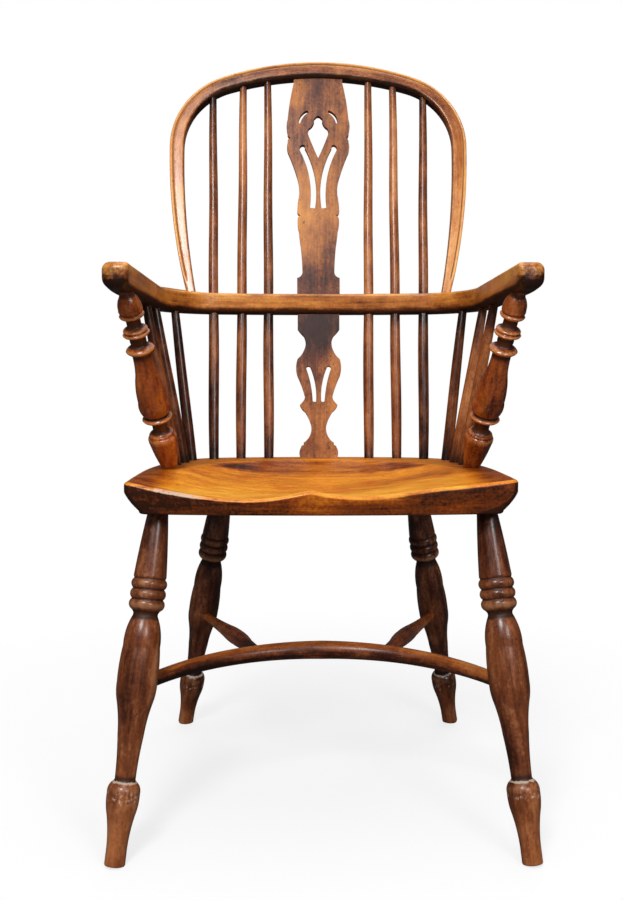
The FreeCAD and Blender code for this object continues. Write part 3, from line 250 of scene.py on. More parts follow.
# the splats' darker and lighter bands: the one just under the arm bow paints its shadow, and the one at the
# top paints the crown's shade
SPLAT_WOOD = wood(
    "splat_wood", ((98, 50, 29), (164, 101, 50), (204, 138, 70), (206, 142, 80), (48, 21, 13)),
    figure=0.35, gloss=0.4, coat=0.06, shine=0.25, scuffed=0.08,
    dark_levels=((1.075, 0.1, 0.25), (0.735, 0.05, 0.3), (0.66, 0.06, 0.45), (0.97, 0.03, 0.15),
                 (0.55, 0.14, 0.2), (0.84, 0.1, -0.25)))
BOW_WOOD = wood(
    "bow_wood", ((80, 35, 14), (142, 74, 30), (184, 112, 54), (184, 118, 62), (32, 14, 7)),
    figure=0.5, gloss=0.34, coat=0.15, shine=0.3, scuffed=0.1)


# Surfaces

def ramp(values, start, end):
    """0 at start, 1 at end, a straight line between them and level beyond; start may be above end."""
    return np.clip((values - start) / (end - start), 0, 1)


def hump(values, centre, width, power=2.0):
    """A bell of height 1: the falling exponential of the distance from the centre, over the width, to that
    power."""
    return np.exp(-(np.abs((values - centre) / width) ** power))


def way_along(line):
    """How far each point of a line is from its first one, added up over the stretches between them."""
    stretches = np.linalg.norm(np.diff(line, axis=0), axis=1)
    return np.concatenate([[0], np.cumsum(stretches)])


def on_circle(x, y, radius, turn):
    """Points of a circle: its centre plus its radius times the cosine and the sine of each turn."""
    return np.stack([x + radius * np.cos(turn), y + radius * np.sin(turn)], -1)


def grain_of(across, through, along):
    """Grain coordinates of every point: across the piece, through it and along it."""
    return np.stack(np.broadcast_arrays(across, through, along), -1)


def arcs(stations, step):
    """Points of a line through stations (x, y, rise): a rise above 0 bulges to the right of the way on, and
    each stretch is the arc through its two ends and the point that lies that far off their middle."""
    points = []
    for here, there in zip(stations[:-1], stations[1:]):
        start, end = np.array(here[:2], float), np.array(there[:2], float)
        rise = here[2] if len(here) > 2 else 0.0
        chord = end - start
        long = np.hypot(*chord)
        count = max(2, int(round(long / step)))
        share = np.arange(count) / count
        if rise == 0:
            points.append(start + chord * share[:, None])
            continue
        along = chord / long
        outward = np.array([along[1], -along[0]])
        radius = (long * long / 4 + rise * rise) / (2 * abs(rise))
        reach = math.asin(min(1.0, long / 2 / radius))
        angle = (share * 2 - 1) * reach
        bulge = math.copysign(1.0, rise) * (radius * np.cos(angle) - (radius - abs(rise)))
        middle = (start + end) / 2
        points.append(middle + np.outer(radius * np.sin(angle), along) + np.outer(bulge, outward))
    points.append(np.array([stations[-1][:2]], float))
    return np.concatenate(points)


def placed(name, data):
    """The object of that mesh, lamp or camera, put into the scene."""
    item = bpy.data.objects.new(name, data)
    bpy.context.scene.collection.objects.link(item)
    return item


def points_of(mesh):
    """The places of a mesh's points, one to a row."""
    places = np.empty(len(mesh.vertices) * 3)
    mesh.vertices.foreach_get("co", places)
    return places.reshape(-1, 3)


def finished(mesh, node, material, grain, marks, stained):
    """The piece of a mesh: its grain, marks, and darkening by stains and painted shade at every point, its
    wood, and the node that it replaces."""
    for label, values in (("grain", grain), ("marks", marks)):
        mesh.attributes.new(label, "FLOAT_VECTOR", "POINT").data.foreach_set("vector", values.ravel())
    mesh.attributes.new("stained", "FLOAT", "POINT").data.foreach_set("value", stained)
    mesh.materials.clear()
    mesh.materials.append(material)
    piece = placed(node + "_piece", mesh)
    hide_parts(node)
    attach(piece, "root")
    return piece


def made(node, material, points, grain, stained, wear_and_highlight, dirt_and_shade=0.0, chalk=0.0):
    """A closed surface from a grid of points: rows run along the piece, columns round it, each cell is one
    face, and the first and last rows close on their own middle. A volume below 0 turns every face. The
    worn, dirty and chalky marks, with the painted light and shade in them, are kept between 0 and 1."""
    rows, columns = points.shape[:2]
    wear_and_highlight, dirt_and_shade, chalk, stained, _ = np.broadcast_arrays(wear_and_highlight, dirt_and_shade, chalk, stained, points[..., 0])
    marks = np.clip(np.stack([wear_and_highlight, dirt_and_shade, chalk], -1), 0, 1)

    def capped(grid):
        """The grid's values, one point to a row, then the middle of its first row and of its last."""
        flat = grid.reshape(rows * columns, *grid.shape[2:])
        return np.concatenate([flat, grid[0].mean(0)[None], grid[-1].mean(0)[None]])

    places = capped(points)
    ring = np.arange(columns)
    onward = (ring + 1) % columns
    low = np.arange(rows - 1)[:, None] * columns
    high = low + columns
    quads = np.stack([low + ring, low + onward, high + onward, high + ring], -1).reshape(-1, 4)
    middle = np.full(columns, rows * columns)
    last = (rows - 1) * columns
    caps = np.concatenate([
        np.stack([onward, ring, middle], -1), np.stack([last + ring, last + onward, middle + 1], -1)])
    a, b, c, d = (places[quads[:, k]] for k in range(4))
    volume = np.sum(a * (np.cross(b, c) + np.cross(c, d)))
    if volume < 0:
        quads, caps = quads[:, ::-1], caps[:, ::-1]
    mesh = bpy.data.meshes.new(node + "_piece")
    mesh.from_pydata((places * MM).tolist(), [], quads.tolist() + caps.tolist())
    mesh.shade_smooth()
    return finished(mesh, node, material, capped(grain) * MM, capped(marks), capped(stained))


def smoothed(values, spread):
    """Each value with its neighbours, weighted by a bell curve that many rows wide."""
    reach = int(spread * 3)
    weights = np.exp(-0.5 * (np.arange(-reach, reach + 1) / spread) ** 2)
    padded = np.pad(values, reach, mode="edge")
    return np.convolve(padded, weights / weights.sum(), mode="valid")


def turned(name, material, profile, foot, head, stain_and_shade, chalk=None, step=1.2, columns=56, wander=0.0):
    """A lathe-turned piece: each point of the profile goes round the axis from foot to head, by its radius
    times the cosine of the angle one way and the sine the other, and wander bends the axis on two slow
    waves. A radius over its own average nearby is a crest, and worn; one under it is a hollow, and dirty.
    Functions give the darkening, by stains and painted shade, and the chalk at each height."""
    worn_crest, dirty_hollow, nearby = 2.2, 1.2, 7.0
    foot, head = np.array(foot, float), np.array(head, float)
    line = arcs(profile, step)
    radius, height = line[:, :1], line[:, 1:]
    axis = (head - foot) / np.linalg.norm(head - foot)
    across = np.cross([0.0, 1.0, 0.0], axis)
    across /= np.linalg.norm(across)
    beside = np.cross(axis, across)
    angle = np.arange(columns) * 2 * math.pi / columns
    shift = random.uniform(-1, 1, 2)
    x = radius * np.cos(angle) + wander * np.sin(height / 37.0 + shift[0] * 9)
    y = radius * np.sin(angle) + wander * np.sin(height / 53.0 + shift[1] * 9)
    points = foot + x[..., None] * across + y[..., None] * beside + height[..., None] * axis
    crest = radius - smoothed(radius[:, 0], nearby / step)[:, None]
    # every piece is cut from the log at its own turn, off its middle, and from its own place along it
    turn = random.uniform(0, 2 * math.pi)
    grain = grain_of(
        x * math.cos(turn) - y * math.sin(turn) + 26, x * math.sin(turn) + y * math.cos(turn) + 12,
        height + random.uniform(0, 4000))
    return made(name, material, points, grain, stain_and_shade(height), wear_and_highlight=ramp(crest, 0, worn_crest),
                dirt_and_shade=ramp(crest, 0, -dirty_hollow), chalk=chalk(height) if chalk else 0.0)


def at(x, y, z):
    """The place that lies y behind the datum line: DATUM is taken off its y."""
    return np.array([x, y - DATUM, z])


def at_height(start, end, z):
    """Where the straight line from start to end reaches that height: start plus the share of the climb."""
    return start + (end - start) * (z - start[2]) / (end[2] - start[2])


def on_side(point, side):
    """A place on the left, with x times the side, so it is mirrored for the right."""
    return point * np.array([side, 1, 1])


def arm_level(y):
    """Height of the arm bow's underside that far behind the datum line: it rises forwards from the hoop."""
    return ARM_UNDERSIDE + (HOOP_BASE - y) * ARM_SLOPE


# Legs
LEG_ANKLE = 99.0


def leg_profile(long, vase):
    """A leg's outline from the floor up, as radius, height and bulge: toe, bulb, ankle, long vase, neck,
    three rings, collar, taper and tenon. The rings hang from the top, and what is below them stands on the
    floor."""
    ring, groove, neck, ankle, vase_height = 12.6, 19.2, 15.2, 12.5, 214.0
    toe, bulb, bulb_height, collar, tenon = 12.4, 19.8, 84.0, 20.3, 13.0
    rings_top = long - 86.0
    rings_foot = rings_top - 3 * ring
    waist = ankle + (vase - ankle) * 0.28
    waist_height = LEG_ANKLE + (vase_height - LEG_ANKLE) * 0.46
    return [
        (toe - 1.4, 0.4, 0.4), (toe, 1.8), (toe, bulb_height * 0.25, -0.9),
        (bulb * 0.86, bulb_height * 0.7, 1.0), (bulb, bulb_height, 2.2),
        (ankle + 1.0, LEG_ANKLE - 1.0), (ankle, LEG_ANKLE + 1.0, -0.7), (waist, waist_height, -1.0),
        (vase * 0.9, vase_height - 22, 0.8), (vase, vase_height, 0.9), (vase * 0.92, vase_height + 44, 2.4),
        (neck, rings_foot - 7.5), (neck, rings_foot - 5.0, -0.6),
        (groove, rings_foot, 2.9), (groove, rings_foot + ring, 2.9), (groove, rings_foot + 2 * ring, 2.9),
        (groove, rings_top), (collar, rings_top + 2.5, 0.5), (tenon, long - 5.0), (tenon, long + 4),
    ]


def ankle_chalk(height):
    """A chalky line round the ankle, and scuffs round the bulb: a narrow hump plus a wide one."""
    return np.clip(0.8 * hump(height, LEG_ANKLE - 1.5, 1.8) + 0.62 * hump(height, 80.0, 16.0), 0, 1)


def leg_stain_and_shade(height, darker):
    """Darker by the given amount and, by a ramp up to it, under the seat, both painted shade; lighter at
    the foot, by a ramp down to it.
    """
    return darker + 0.35 * ramp(height, 330.0, 420.0) - 0.6 * ramp(height, 110.0, 10.0)


# Each pair: its place, its foot on the floor, its top at the seat's underside, the vase's radius and how
# much darker it is, which paints the rear pair's shade
leg_lines = {}
for where, foot, head, vase, darker in (
        ("front", (249.8, -220.0), (206.3, -126.0), 24.6, 0.0),
        ("rear", (222.9, 255.0), (147.2, 146.0), 23.2, 0.3)):
    for hand, side in SIDES:
        low = on_side(at(*foot, 0), side)
        high = on_side(at(*head, SEAT_UNDERSIDE), side)
        leg_lines[where, hand] = (low, high)
        profile = leg_profile(np.linalg.norm(high - low), vase)
        leg = turned(f"leg_{where}_{hand}", LEG_WOOD, profile, low, high,
                     stain_and_shade=lambda height, darker=darker: leg_stain_and_shade(height, darker), chalk=ankle_chalk)
        # the sawn foot stands flat on the floor
        places = points_of(leg.data)
        places[:, 2] = np.maximum(places[:, 2], 0.0)
        leg.data.vertices.foreach_set("co", places.ravel())


# Arm supports
def support_profile(top):
    """An arm support's outline from the seat up, as radius, height and bulge."""
    neck, vase, urn, head, foot = 9.8, 20.2, 19.4, 8.5, 11.2
    return [
        # foot and urn with its lip
        (foot, -6), (foot, 6.0, 0.8), (urn - 0.4, 47.0, 0.3), (urn, 51.0, 0.6),
        (urn - 1.2, 56.0), (urn - 2.4, 57.0, 0.3), (urn - 3.0, 60.0, -1.9),
        # hollow, ring and vase
        (neck, 69.5), (neck, 75.0, -1.3),
        (vase - 4.6, 80.6), (vase - 2.2, 81.8, 0.3), (vase + 0.4, 84.8, 0.3), (vase - 2.4, 87.6),
        (vase - 4.2, 88.6, 2.9), (vase, 112.0, 1.5), (vase - 5.4, 152.0, -0.8), (neck + 2.6, 181.5),
        # ring and hollow
        (neck + 5.6, 183.6), (neck + 6.6, 184.6, 0.3), (neck + 9.2, 188.0, 0.3), (neck + 5.8, 191.4),
        (neck + 4.2, 192.4, -1.7), (neck + 1.0, 199.0), (neck + 1.0, 202.5, -1.5),
        # two rings and hollow
        (neck + 4.4, 207.6), (neck + 5.8, 208.4, 0.3), (neck + 7.9, 211.0, 0.3), (neck + 5.2, 213.2),
        (neck + 5.0, 213.9, 0.2), (neck + 6.4, 216.0, 0.3), (neck + 4.4, 218.2, -1.7),
        (neck - 0.4, 224.5), (neck - 0.4, 228.5, -1.0),
        # ring, and a taper into the arm bow
        (neck + 3.4, 233.0), (neck + 4.6, 233.8, 0.3), (neck + 6.6, 236.8, 0.3), (neck + 4.0, 239.4),
        (neck + 4.4, 240.2, 0.8), (neck + 5.6, 245.5, 1.5),
        (head + 1.8, top - 5.0, -0.2), (head + 0.6, top), (head, top + 6.0),
    ]


SUPPORT_HEAD = -108.4  # the y of its head
support_foot = at(210.5, 16.0, SEAT_TOP)
support_head = at(246.0, SUPPORT_HEAD, arm_level(SUPPORT_HEAD))
for hand, side in SIDES:
    # the left one is darker
    profile = support_profile(np.linalg.norm(support_head - support_foot))
    turned(f"arm_support_{hand}", SUPPORT_WOOD, profile, on_side(support_foot, side),
           on_side(support_head, side), stain_and_shade=lambda height, side=side: 0.05 + 0.25 * side, step=0.8)

# Spur stretchers, from the crinoline stretcher's arc to the rear legs
BOW_RADIUS = 262.0
SPUR_HALF_GAP = 82.0
SPUR_FULL, SPUR_TENON = 11.4, 6.3
bow_middle = at(0, -46.0, 211.0)
bow_end = at_height(*leg_lines["front", "left"], 204.0)
bow_forward = np.array([0.0, bow_end[1] - bow_middle[1], bow_end[2] - bow_middle[2]])
bow_reach = np.linalg.norm(bow_forward)
bow_forward /= bow_reach
spur_drop = BOW_RADIUS - math.sqrt(BOW_RADIUS ** 2 - SPUR_HALF_GAP ** 2)
spur_start = bow_middle + np.array([SPUR_HALF_GAP, -spur_drop, bow_forward[2] * spur_drop])
for hand, side in SIDES:
    start = on_side(spur_start, side)
    end = at_height(*leg_lines["rear", hand], 197.5)
    long = np.linalg.norm(end - start)
    profile = [
        (SPUR_TENON, 4.0), (SPUR_TENON, 13.3, -0.3), (8.2, long * 0.2, 0.9), (SPUR_FULL, long * 0.35, 0.6),
        (10.3, long * 0.5, -0.4), (7.2, long * 0.78), (SPUR_TENON, long - 24.2), (SPUR_TENON, long - 12.0),
    ]
    turned(f"stretcher_spur_{hand}", SUPPORT_WOOD, profile, start, end,
           stain_and_shade=lambda height, long=long: 0.9 * ramp(height, 0.55 * long, 0) - 0.3, step=2.0, columns=40)

# Back hoop, in its own raked plane
HOOP_HEIGHT = 388.9
HOOP_HALF = 238.3
HOOP_WIDE = 243.6  # the height at which it is widest
HOOP_DEPTH = 22.0
HOOP_RAKE = 93.5  # how far its top leans back
HOOP_SUNK = 4.0
RISING_POINTS, CORNER_POINTS = 70, 60
hoop_foot = at(0, HOOP_BASE, ARM_TOP)
hoop_lean = HOOP_RAKE / HOOP_HEIGHT
hoop_up = np.array([0.0, hoop_lean, math.sqrt(1 - hoop_lean ** 2)])
hoop_front = np.array([0.0, -hoop_up[2], hoop_up[1]])


def hoop_crown(half_width, height, shoulder):
    """Radius of the crown and the point where it meets the shoulder. The circles touch there, so their
    centres are as far apart as their radii differ, and in line with the point."""
    climb = height - HOOP_WIDE
    radius = (2 * half_width * shoulder - half_width ** 2 - climb ** 2) / (2 * (shoulder - climb))
    share = radius / (radius - shoulder)
    return radius, (half_width - shoulder) * share, height - radius + (HOOP_WIDE - height + radius) * share


def hoop_curve(half_width, height, shoulder, foot):
    """Right half of an arch, from its foot over the widest line and the shoulder to the top: three arcs
    that meet smoothly, each with even turns."""
    crown, joint_x, joint_y = hoop_crown(half_width, height, shoulder)
    drop = HOOP_WIDE + HOOP_SUNK
    spread = half_width - foot
    side = (drop ** 2 + spread ** 2) / (2 * spread)
    turn = math.asin(drop / side) * (1 - np.arange(RISING_POINTS) / RISING_POINTS)
    rising = on_circle(half_width - side, HOOP_WIDE, side, -turn)
    reach = math.atan2(joint_y - HOOP_WIDE, joint_x - half_width + shoulder)
    turn = reach * np.arange(CORNER_POINTS) / CORNER_POINTS
    corner = on_circle(half_width - shoulder, HOOP_WIDE, shoulder, turn)
    turn = math.pi / 2 - math.asin(joint_x / crown) * (1 - np.arange(61) / 60)
    top = on_circle(0, height - crown, crown, turn)
    return np.concatenate([rising, corner, top])


def whole(half):
    """Both halves of an arch: the right one, then its mirror image without the shared top point."""
    return np.concatenate([half, (half * [-1, 1])[-2::-1]])


outer_half = hoop_curve(HOOP_HALF, HOOP_HEIGHT, shoulder=126.0, foot=206.6)
inner_half = hoop_curve(HOOP_HALF - 22.0, HOOP_HEIGHT - 25.5, shoulder=103.0, foot=192.6)
outer, inner = whole(outer_half), whole(inner_half)
face = np.linalg.norm(outer - inner, axis=1)
inward = (inner - outer) / face[:, None]

# The section, once round: outer face, bead, groove, flat, inner front arris, inner face and back arrises.
# Each entry: its distance from the outer edge, or from the inner edge, its depth, 1 for the inner edge, and
# how worn it is, or grimy where that is below 0
HALF_DEPTH = HOOP_DEPTH / 2
FACE_POINTS = 6
BEAD, BACK_ARRIS = 2.2, 5.0
ARRIS_WIDTH, ARRIS_DEPTH = 7.0, 8.0
section = [(0.0, d, 0, 0.15) for d in np.linspace(-6.0, 7.0, FACE_POINTS)]
section += [(BEAD + BEAD * math.cos(t), HALF_DEPTH - BEAD + BEAD * math.sin(t), 0, 0.7)
            for t in np.linspace(math.pi, 0.12, 10)]
section += [(4.7, HALF_DEPTH - 1.9, 0, -1.0), (5.4, HALF_DEPTH - 1.8, 0, -1.0),
            (6.3, HALF_DEPTH - 0.3, 0, -0.3), (7.6, HALF_DEPTH, 0, 0.0), (9.6, HALF_DEPTH, 0, 0.0)]
section += [(ARRIS_WIDTH * (1 - math.cos(t)), HALF_DEPTH - ARRIS_DEPTH * (1 - math.sin(t)), 1, 0.3)
            for t in np.linspace(math.pi / 2, 0, 10)]
section += [(0.0, d, 1, 0.0) for d in np.linspace(2.0, -4.0, 4)]
section += [(BACK_ARRIS * (1 - abs(math.cos(t))), -HALF_DEPTH + BACK_ARRIS * (1 + math.sin(t)), inside, 0.2)
            for inside, first in ((1, 0), (0, -math.pi / 2))
            for t in np.linspace(first, first - math.pi / 2, 8)]
distance, deep, from_inner, worn = np.array(section).T
from_inner = from_inner > 0
on_outer_face = np.arange(len(section)) < FACE_POINTS
on_bead = (worn != 0) & ~from_inner & (deep > 6.5)
# the inner front arris is rounded far more overhead than at the sides
overhead = np.clip(-inward[:, 1:], 0, 1) ** 1.5
eased = np.where(from_inner & (deep > 2.5), 0.28 + 0.72 * overhead, 1.0)
depth = HALF_DEPTH - (HALF_DEPTH - deep) * eased
away = np.where(from_inner, face[:, None] - distance * eased, distance)
# the groove runs out above the arm bow, into a plain round arris
fade = ramp(outer[:, 1:], 14.0, 28.0)
to_arris = BACK_ARRIS - np.clip(distance, 0, BACK_ARRIS)
plain = HALF_DEPTH - BACK_ARRIS + np.sqrt(BACK_ARRIS ** 2 - to_arris ** 2)
depth = np.where(on_bead, depth * fade + plain * (1 - fade), depth)
flat = outer[:, None, :] + inward[:, None, :] * away[..., None]
points = hoop_foot + flat[..., :1] * [1.0, 0, 0] + flat[..., 1:] * hoop_up + depth[..., None] * hoop_front
grain = grain_of(away + 14, depth + 40, way_along((outer + inner) / 2)[:, None])
wear_and_highlight = np.clip(worn, 0, 1) * np.where(on_bead, fade, 1.0)
# grime-coloured in the groove and on the outer face, and along the inner edge under the crown, which is
# painted shade
dirt_and_shade = np.clip(-worn, 0, 1) * fade + overhead * (from_inner & (distance < 4.0)) + 0.5 * on_outer_face
# painted shade under the crown, on its inner face; paler down the sides, a painted sheen; darker at the
# back and over the shoulders, above all the right one
stained = np.where(from_inner, 1.5 * overhead * ramp(distance, 7.7, 0.7), 0) - 0.3 * (1 - overhead)
stained = stained - 0.3 * on_bead + 0.3 * (deep < -HALF_DEPTH + 3.0) + 0.15 * overhead * (distance > 7)
out = outer[:, :1]
shoulders = ramp(outer[:, 1:], HOOP_WIDE, HOOP_WIDE + 60.0) * ramp(np.abs(out), 70.0, 130.0)
stained = stained + shoulders * np.where(out > 0, 0.2, 0.45) * ~on_bead
made("back_hoop", HOOP_WOOD, points, grain, stained, wear_and_highlight, dirt_and_shade)


def hoop_middle(x):
    """The point of the hoop's middle line that far to the left: its height is read off the line's upper
    part, and goes up the raked plane."""
    upper = ((outer_half + inner_half) / 2)[RISING_POINTS:]
    height = np.interp(-x, -upper[:, 0], upper[:, 1])
    return hoop_foot + np.array([x, 0, 0]) + hoop_up * height


# Sticks
def stick_darkening(long, joint):
    """Darker at the seat, under the arm bow and under the hoop, by an exponential of the distance from
    each."""
    own = random.uniform(-0.25, 0.3)

    def stain_and_shade(height):
        """The stick's own tone, plus the three exponentials, plus 0.2 below the joint."""
        near = (np.exp(-height / 16.0) + np.exp(-np.abs(joint - 6 - height) / 18.0)
                + np.exp(-(long - 12 - height) / 22.0))
        return own + 0.75 * np.clip(near, 0, 1) + 0.2 * (height < joint)

    return stain_and_shade


def stick(name, profile, start, end, side, joint, wander):
    """One stick, turned round the line from start to end, which it leaves by up to wander. joint says how
    far up it meets the arm bow."""
    turned(name, STICK_WOOD, profile, on_side(start, side), on_side(end, side),
           stick_darkening(np.linalg.norm(end - start), joint), step=4.0, columns=32, wander=wander)


# Each stick: x and y at the seat, then x at the hoop, or x and y under the arm
BACK_STICKS = ((78.7, 184.0, 82.0), (122.5, 180.0, 121.8), (163.5, 168.0, 171.0))
ARM_STICKS = ((196.0, 148.0, 222.6, 174.0), (203.0, 110.0, 244.0, 116.0), (209.0, 68.0, 247.3, 55.0))
BACK_STICK_BODY, BACK_STICK_HEAD = 7.7, 5.8
ARM_STICK_FOOT, ARM_STICK_HEAD = 8.0, 6.3
for hand, side in SIDES:
    for number, (x, y, top) in enumerate(BACK_STICKS, 1):
        start, end = at(x, y, SEAT_TOP), hoop_middle(top)
        long = np.linalg.norm(end - start)
        per_height = long / (end[2] - start[2])
        joint = (ARM_UNDERSIDE - SEAT_TOP) * per_height
        profile = [
            (BACK_STICK_BODY - 0.3, -10), (BACK_STICK_BODY - 0.3, 3, 0.7), (BACK_STICK_BODY, joint - 4),
            (BACK_STICK_BODY, (ARM_TOP - SEAT_TOP) * per_height + 4, 0.3),
            (BACK_STICK_HEAD, long - 20), (BACK_STICK_HEAD, long - 6),
        ]
        stick(f"back_stick_{hand}_{number}", profile, start, end, side, joint, wander=0.35)
    for number, (x, y, head_x, head_y) in enumerate(ARM_STICKS, 1):
        start, end = at(x, y, SEAT_TOP), at(head_x, head_y, arm_level(head_y))
        long = np.linalg.norm(end - start)
        profile = [
            (ARM_STICK_FOOT, -8), (ARM_STICK_FOOT, 3, 0.7),
            (ARM_STICK_HEAD, long - 4), (ARM_STICK_HEAD, long + 6),
        ]
        stick(f"arm_stick_{hand}_{number}", profile, start, end, side, long, wander=0.3)


# Arm bow: straight arms, two corners and a back of large radius, with rounded hands
ARM_HALF_SPAN = 249.0
ARM_HALF_WIDTH = 16.5
HAND_END, ARM_BACK = -172.0, 229.0  # the y of the hands' ends and of the middle of the back


def rounded_section(outer, inner, low, high, corners):
    """Section of a bent board at every row of its path: a rectangle between two offsets and two heights
    with quarter circles at its corners. corners gives their radii: outer low, outer high, inner high, inner
    low, each kept under half of the board's least size."""
    parts = []
    least = np.minimum(outer - inner, high - low) * 0.49
    quarter = np.linspace(0, math.pi / 2, 11)
    for (across, up, first), radius in zip(
            ((1, -1, -math.pi / 2), (1, 1, 0.0), (-1, 1, math.pi / 2), (-1, -1, math.pi)), corners):
        radius = np.minimum(radius, least)[:, None]
        edge = (outer if across > 0 else inner)[:, None]
        level = (high if up > 0 else low)[:, None]
        parts.append(on_circle(edge - across * radius, level - up * radius, radius, first + quarter))
    filled = []
    share = (np.arange(1, 6) / 6)[None, :, None]
    for part, following in zip(parts, parts[1:] + parts[:1]):
        filled += [part, part[:, -1:] * (1 - share) + following[:, :1] * share]
    return np.concatenate(filled, 1)


def arm_line():
    """Middle line of the bow in plan, from one hand to the other, as x, y and its outward direction: a
    straight arm, the corner's arc and the back's, and their mirror image. Points crowd towards the hand."""
    corner_x, corner_radius, back_radius, crowded = 142.0, 107.0, 1200.0, 16.0
    back_y = ARM_BACK - back_radius
    rise = math.sqrt((back_radius - corner_radius) ** 2 - corner_x ** 2)
    corner_y = back_y + rise
    joint = math.atan2(rise, corner_x)
    ends = np.concatenate([
        crowded * np.linspace(0, 1, 30)[:-1] ** 2, np.linspace(crowded, corner_y - HAND_END, 80)[:-1]])
    straight = np.stack([np.full(len(ends), ARM_HALF_SPAN), ends + HAND_END, np.zeros(len(ends))], -1)
    turn = np.linspace(0, joint, 60)[:-1]
    corner = np.column_stack([on_circle(corner_x, corner_y, corner_radius, turn), turn])
    turn = np.linspace(joint, math.pi / 2, 50)
    back = np.column_stack([on_circle(0, back_y, back_radius, turn), turn])
    half = np.concatenate([straight, corner, back])
    other = half[-2::-1] * [-1, 1, -1] + [0, 0, math.pi]
    return np.concatenate([half, other])


line = arm_line()
lengths = way_along(line[:, :2])
from_end = np.minimum(lengths, lengths[-1] - lengths)


def drawn_in(radius):
    """How much a rounded end draws in from its full size, at each row: a quarter circle of that radius."""
    left = np.clip(radius - from_end, 0, radius)
    return radius - np.sqrt(radius ** 2 - left ** 2)


hand_part = hump(from_end, 0, 38.0)
ones = np.ones(len(line))
section = rounded_section(
    ARM_HALF_WIDTH - drawn_in(14.0), -ARM_HALF_WIDTH + drawn_in(6.0),
    drawn_in(13.0) - 1.5, ARM_THICKNESS - drawn_in(9.0),
    (7.0 + 7.0 * hand_part, 5.0 + 5.0 * hand_part, 4.5 * ones, 10.0 * ones))
offset, height = section[..., 0], section[..., 1]
# the bend at the sitter's right is twisted, so its outer edge stands higher
right_bend = lengths[-1] - 345.0
twist = 8.0 * hump(lengths, right_bend, 75.0)[:, None]
height = height + twist * ramp(offset, -ARM_HALF_WIDTH, ARM_HALF_WIDTH) * ramp(height, 0, ARM_THICKNESS)
outward = np.stack([np.cos(line[:, 2]), np.sin(line[:, 2])], -1)
plan = line[:, None, :2] + outward[:, None, :] * offset[..., None]
points = np.stack([
    plan[..., 0], plan[..., 1] - DATUM + height * ARM_SLOPE, arm_level(plan[..., 1]) + height], -1)
grain = grain_of(offset + 40, height + 22, lengths[:, None])
# worn along the upper arrises and on the hands, grime-coloured and darker towards the underside, which is
# painted shade, and dark at the end faces
hands = hand_part[:, None]
near_edge = ramp(height, ARM_THICKNESS - 6, ARM_THICKNESS) * ramp(np.abs(offset), 10, 16)
wear_and_highlight = 0.8 * near_edge + 0.5 * hands * (height > 14)
dirt_and_shade = ramp(height, 7.2, 1.2) * (1 - 0.4 * hands)
end_face = hump(from_end, 0, 14.0)[:, None] * ramp(height, 25.0, 13.0)
# the underside's darkening is painted shade; the end faces are dark
stained = 1.1 * ramp(height, 10, 2) + 0.8 * end_face - 0.1
made("arm_bow", ARM_WOOD, points, grain, stained, wear_and_highlight, dirt_and_shade)

# Crinoline stretcher: an arc with a straight tail to each tenon, round in section and thinner towards them.
# Each row of its line: x, how far forward, its direction, and its share of the way out along the arc.
BOW_THICK, BOW_THIN = 12.3, 9.0
TAIL_POINTS = 7
bow_out = math.hypot(bow_end[0], BOW_RADIUS - bow_reach)
bow_tail = math.sqrt(bow_out ** 2 - BOW_RADIUS ** 2)
bow_turn = math.atan2(bow_end[0], BOW_RADIUS - bow_reach) - math.atan2(bow_tail, BOW_RADIUS)
turn = np.linspace(0, bow_turn, 60)
half = np.column_stack([on_circle(0, BOW_RADIUS, BOW_RADIUS, turn - math.pi / 2), turn, turn / bow_turn])
tail = np.linspace(0, bow_tail - 4, TAIL_POINTS + 1)[1:]
half = np.concatenate([half, np.column_stack([
    half[-1, 0] + tail * math.cos(bow_turn), half[-1, 1] + tail * math.sin(bow_turn),
    np.full(TAIL_POINTS, bow_turn), np.ones(TAIL_POINTS)])])
line = np.concatenate([half[:0:-1] * [-1, 1, -1, 1], half])
radius = (BOW_THICK + (BOW_THIN - BOW_THICK) * line[:, 3])[:, None]
angle = np.arange(48) * 2 * math.pi / 48
upward = np.cross([1.0, 0, 0], -bow_forward)
outward = np.stack([-np.sin(line[:, 2]), np.cos(line[:, 2])], -1)
plan = line[:, None, :2] + outward[:, None, :] * (radius * np.cos(angle))[..., None]
height = radius * np.sin(angle)
points = bow_middle + plan[..., :1] * [1.0, 0, 0] + plan[..., 1:] * bow_forward + height[..., None] * upward
grain = grain_of(radius * np.cos(angle) + 30, height + 18, way_along(line[:, :2])[:, None])
# worn along the top; paler above and darker below, painted light and shade
wear_and_highlight = 0.405 * ramp(np.sin(angle), 0.55, 1.0)
stained = 0.45 - 0.75 * ramp(np.sin(angle), -0.1, 0.9) + 0.3 * (np.sin(angle) < -0.2)
made("stretcher_bow", BOW_WOOD, points, grain, stained, wear_and_highlight)


# Seat
SEAT_HALF = 244.0
SEAT_FRONT, SEAT_WIDEST, SEAT_BACK = -186.0, -30.0, 208.0
SEAT_WALL, SEAT_KNEE = 27.0, 13.0  # heights of the upright wall's foot and of the bevel's bend
SEAT_ARRIS, UNDER_ARRIS = 4.6, 4.0
POMMEL = -15.0  # the x of the pommel's ridge
seat_centre = np.array([0.0, 10.0])


def corner_of(first, second, radius):
    """Centre of a corner of that radius that touches two wider circles, (x, y, radius), from inside: it is
    as far from each centre as the radii differ."""
    dx, dy = second[0] - first[0], second[1] - first[1]
    apart = dx * dx + dy * dy
    reach_first, reach_second = first[2] - radius, second[2] - radius
    along = (reach_first ** 2 - reach_second ** 2 + apart) / (2 * apart)
    across = math.sqrt(reach_first ** 2 / apart - along * along)
    return first[0] + dx * along - dy * across, first[1] + dy * along + dx * across, radius


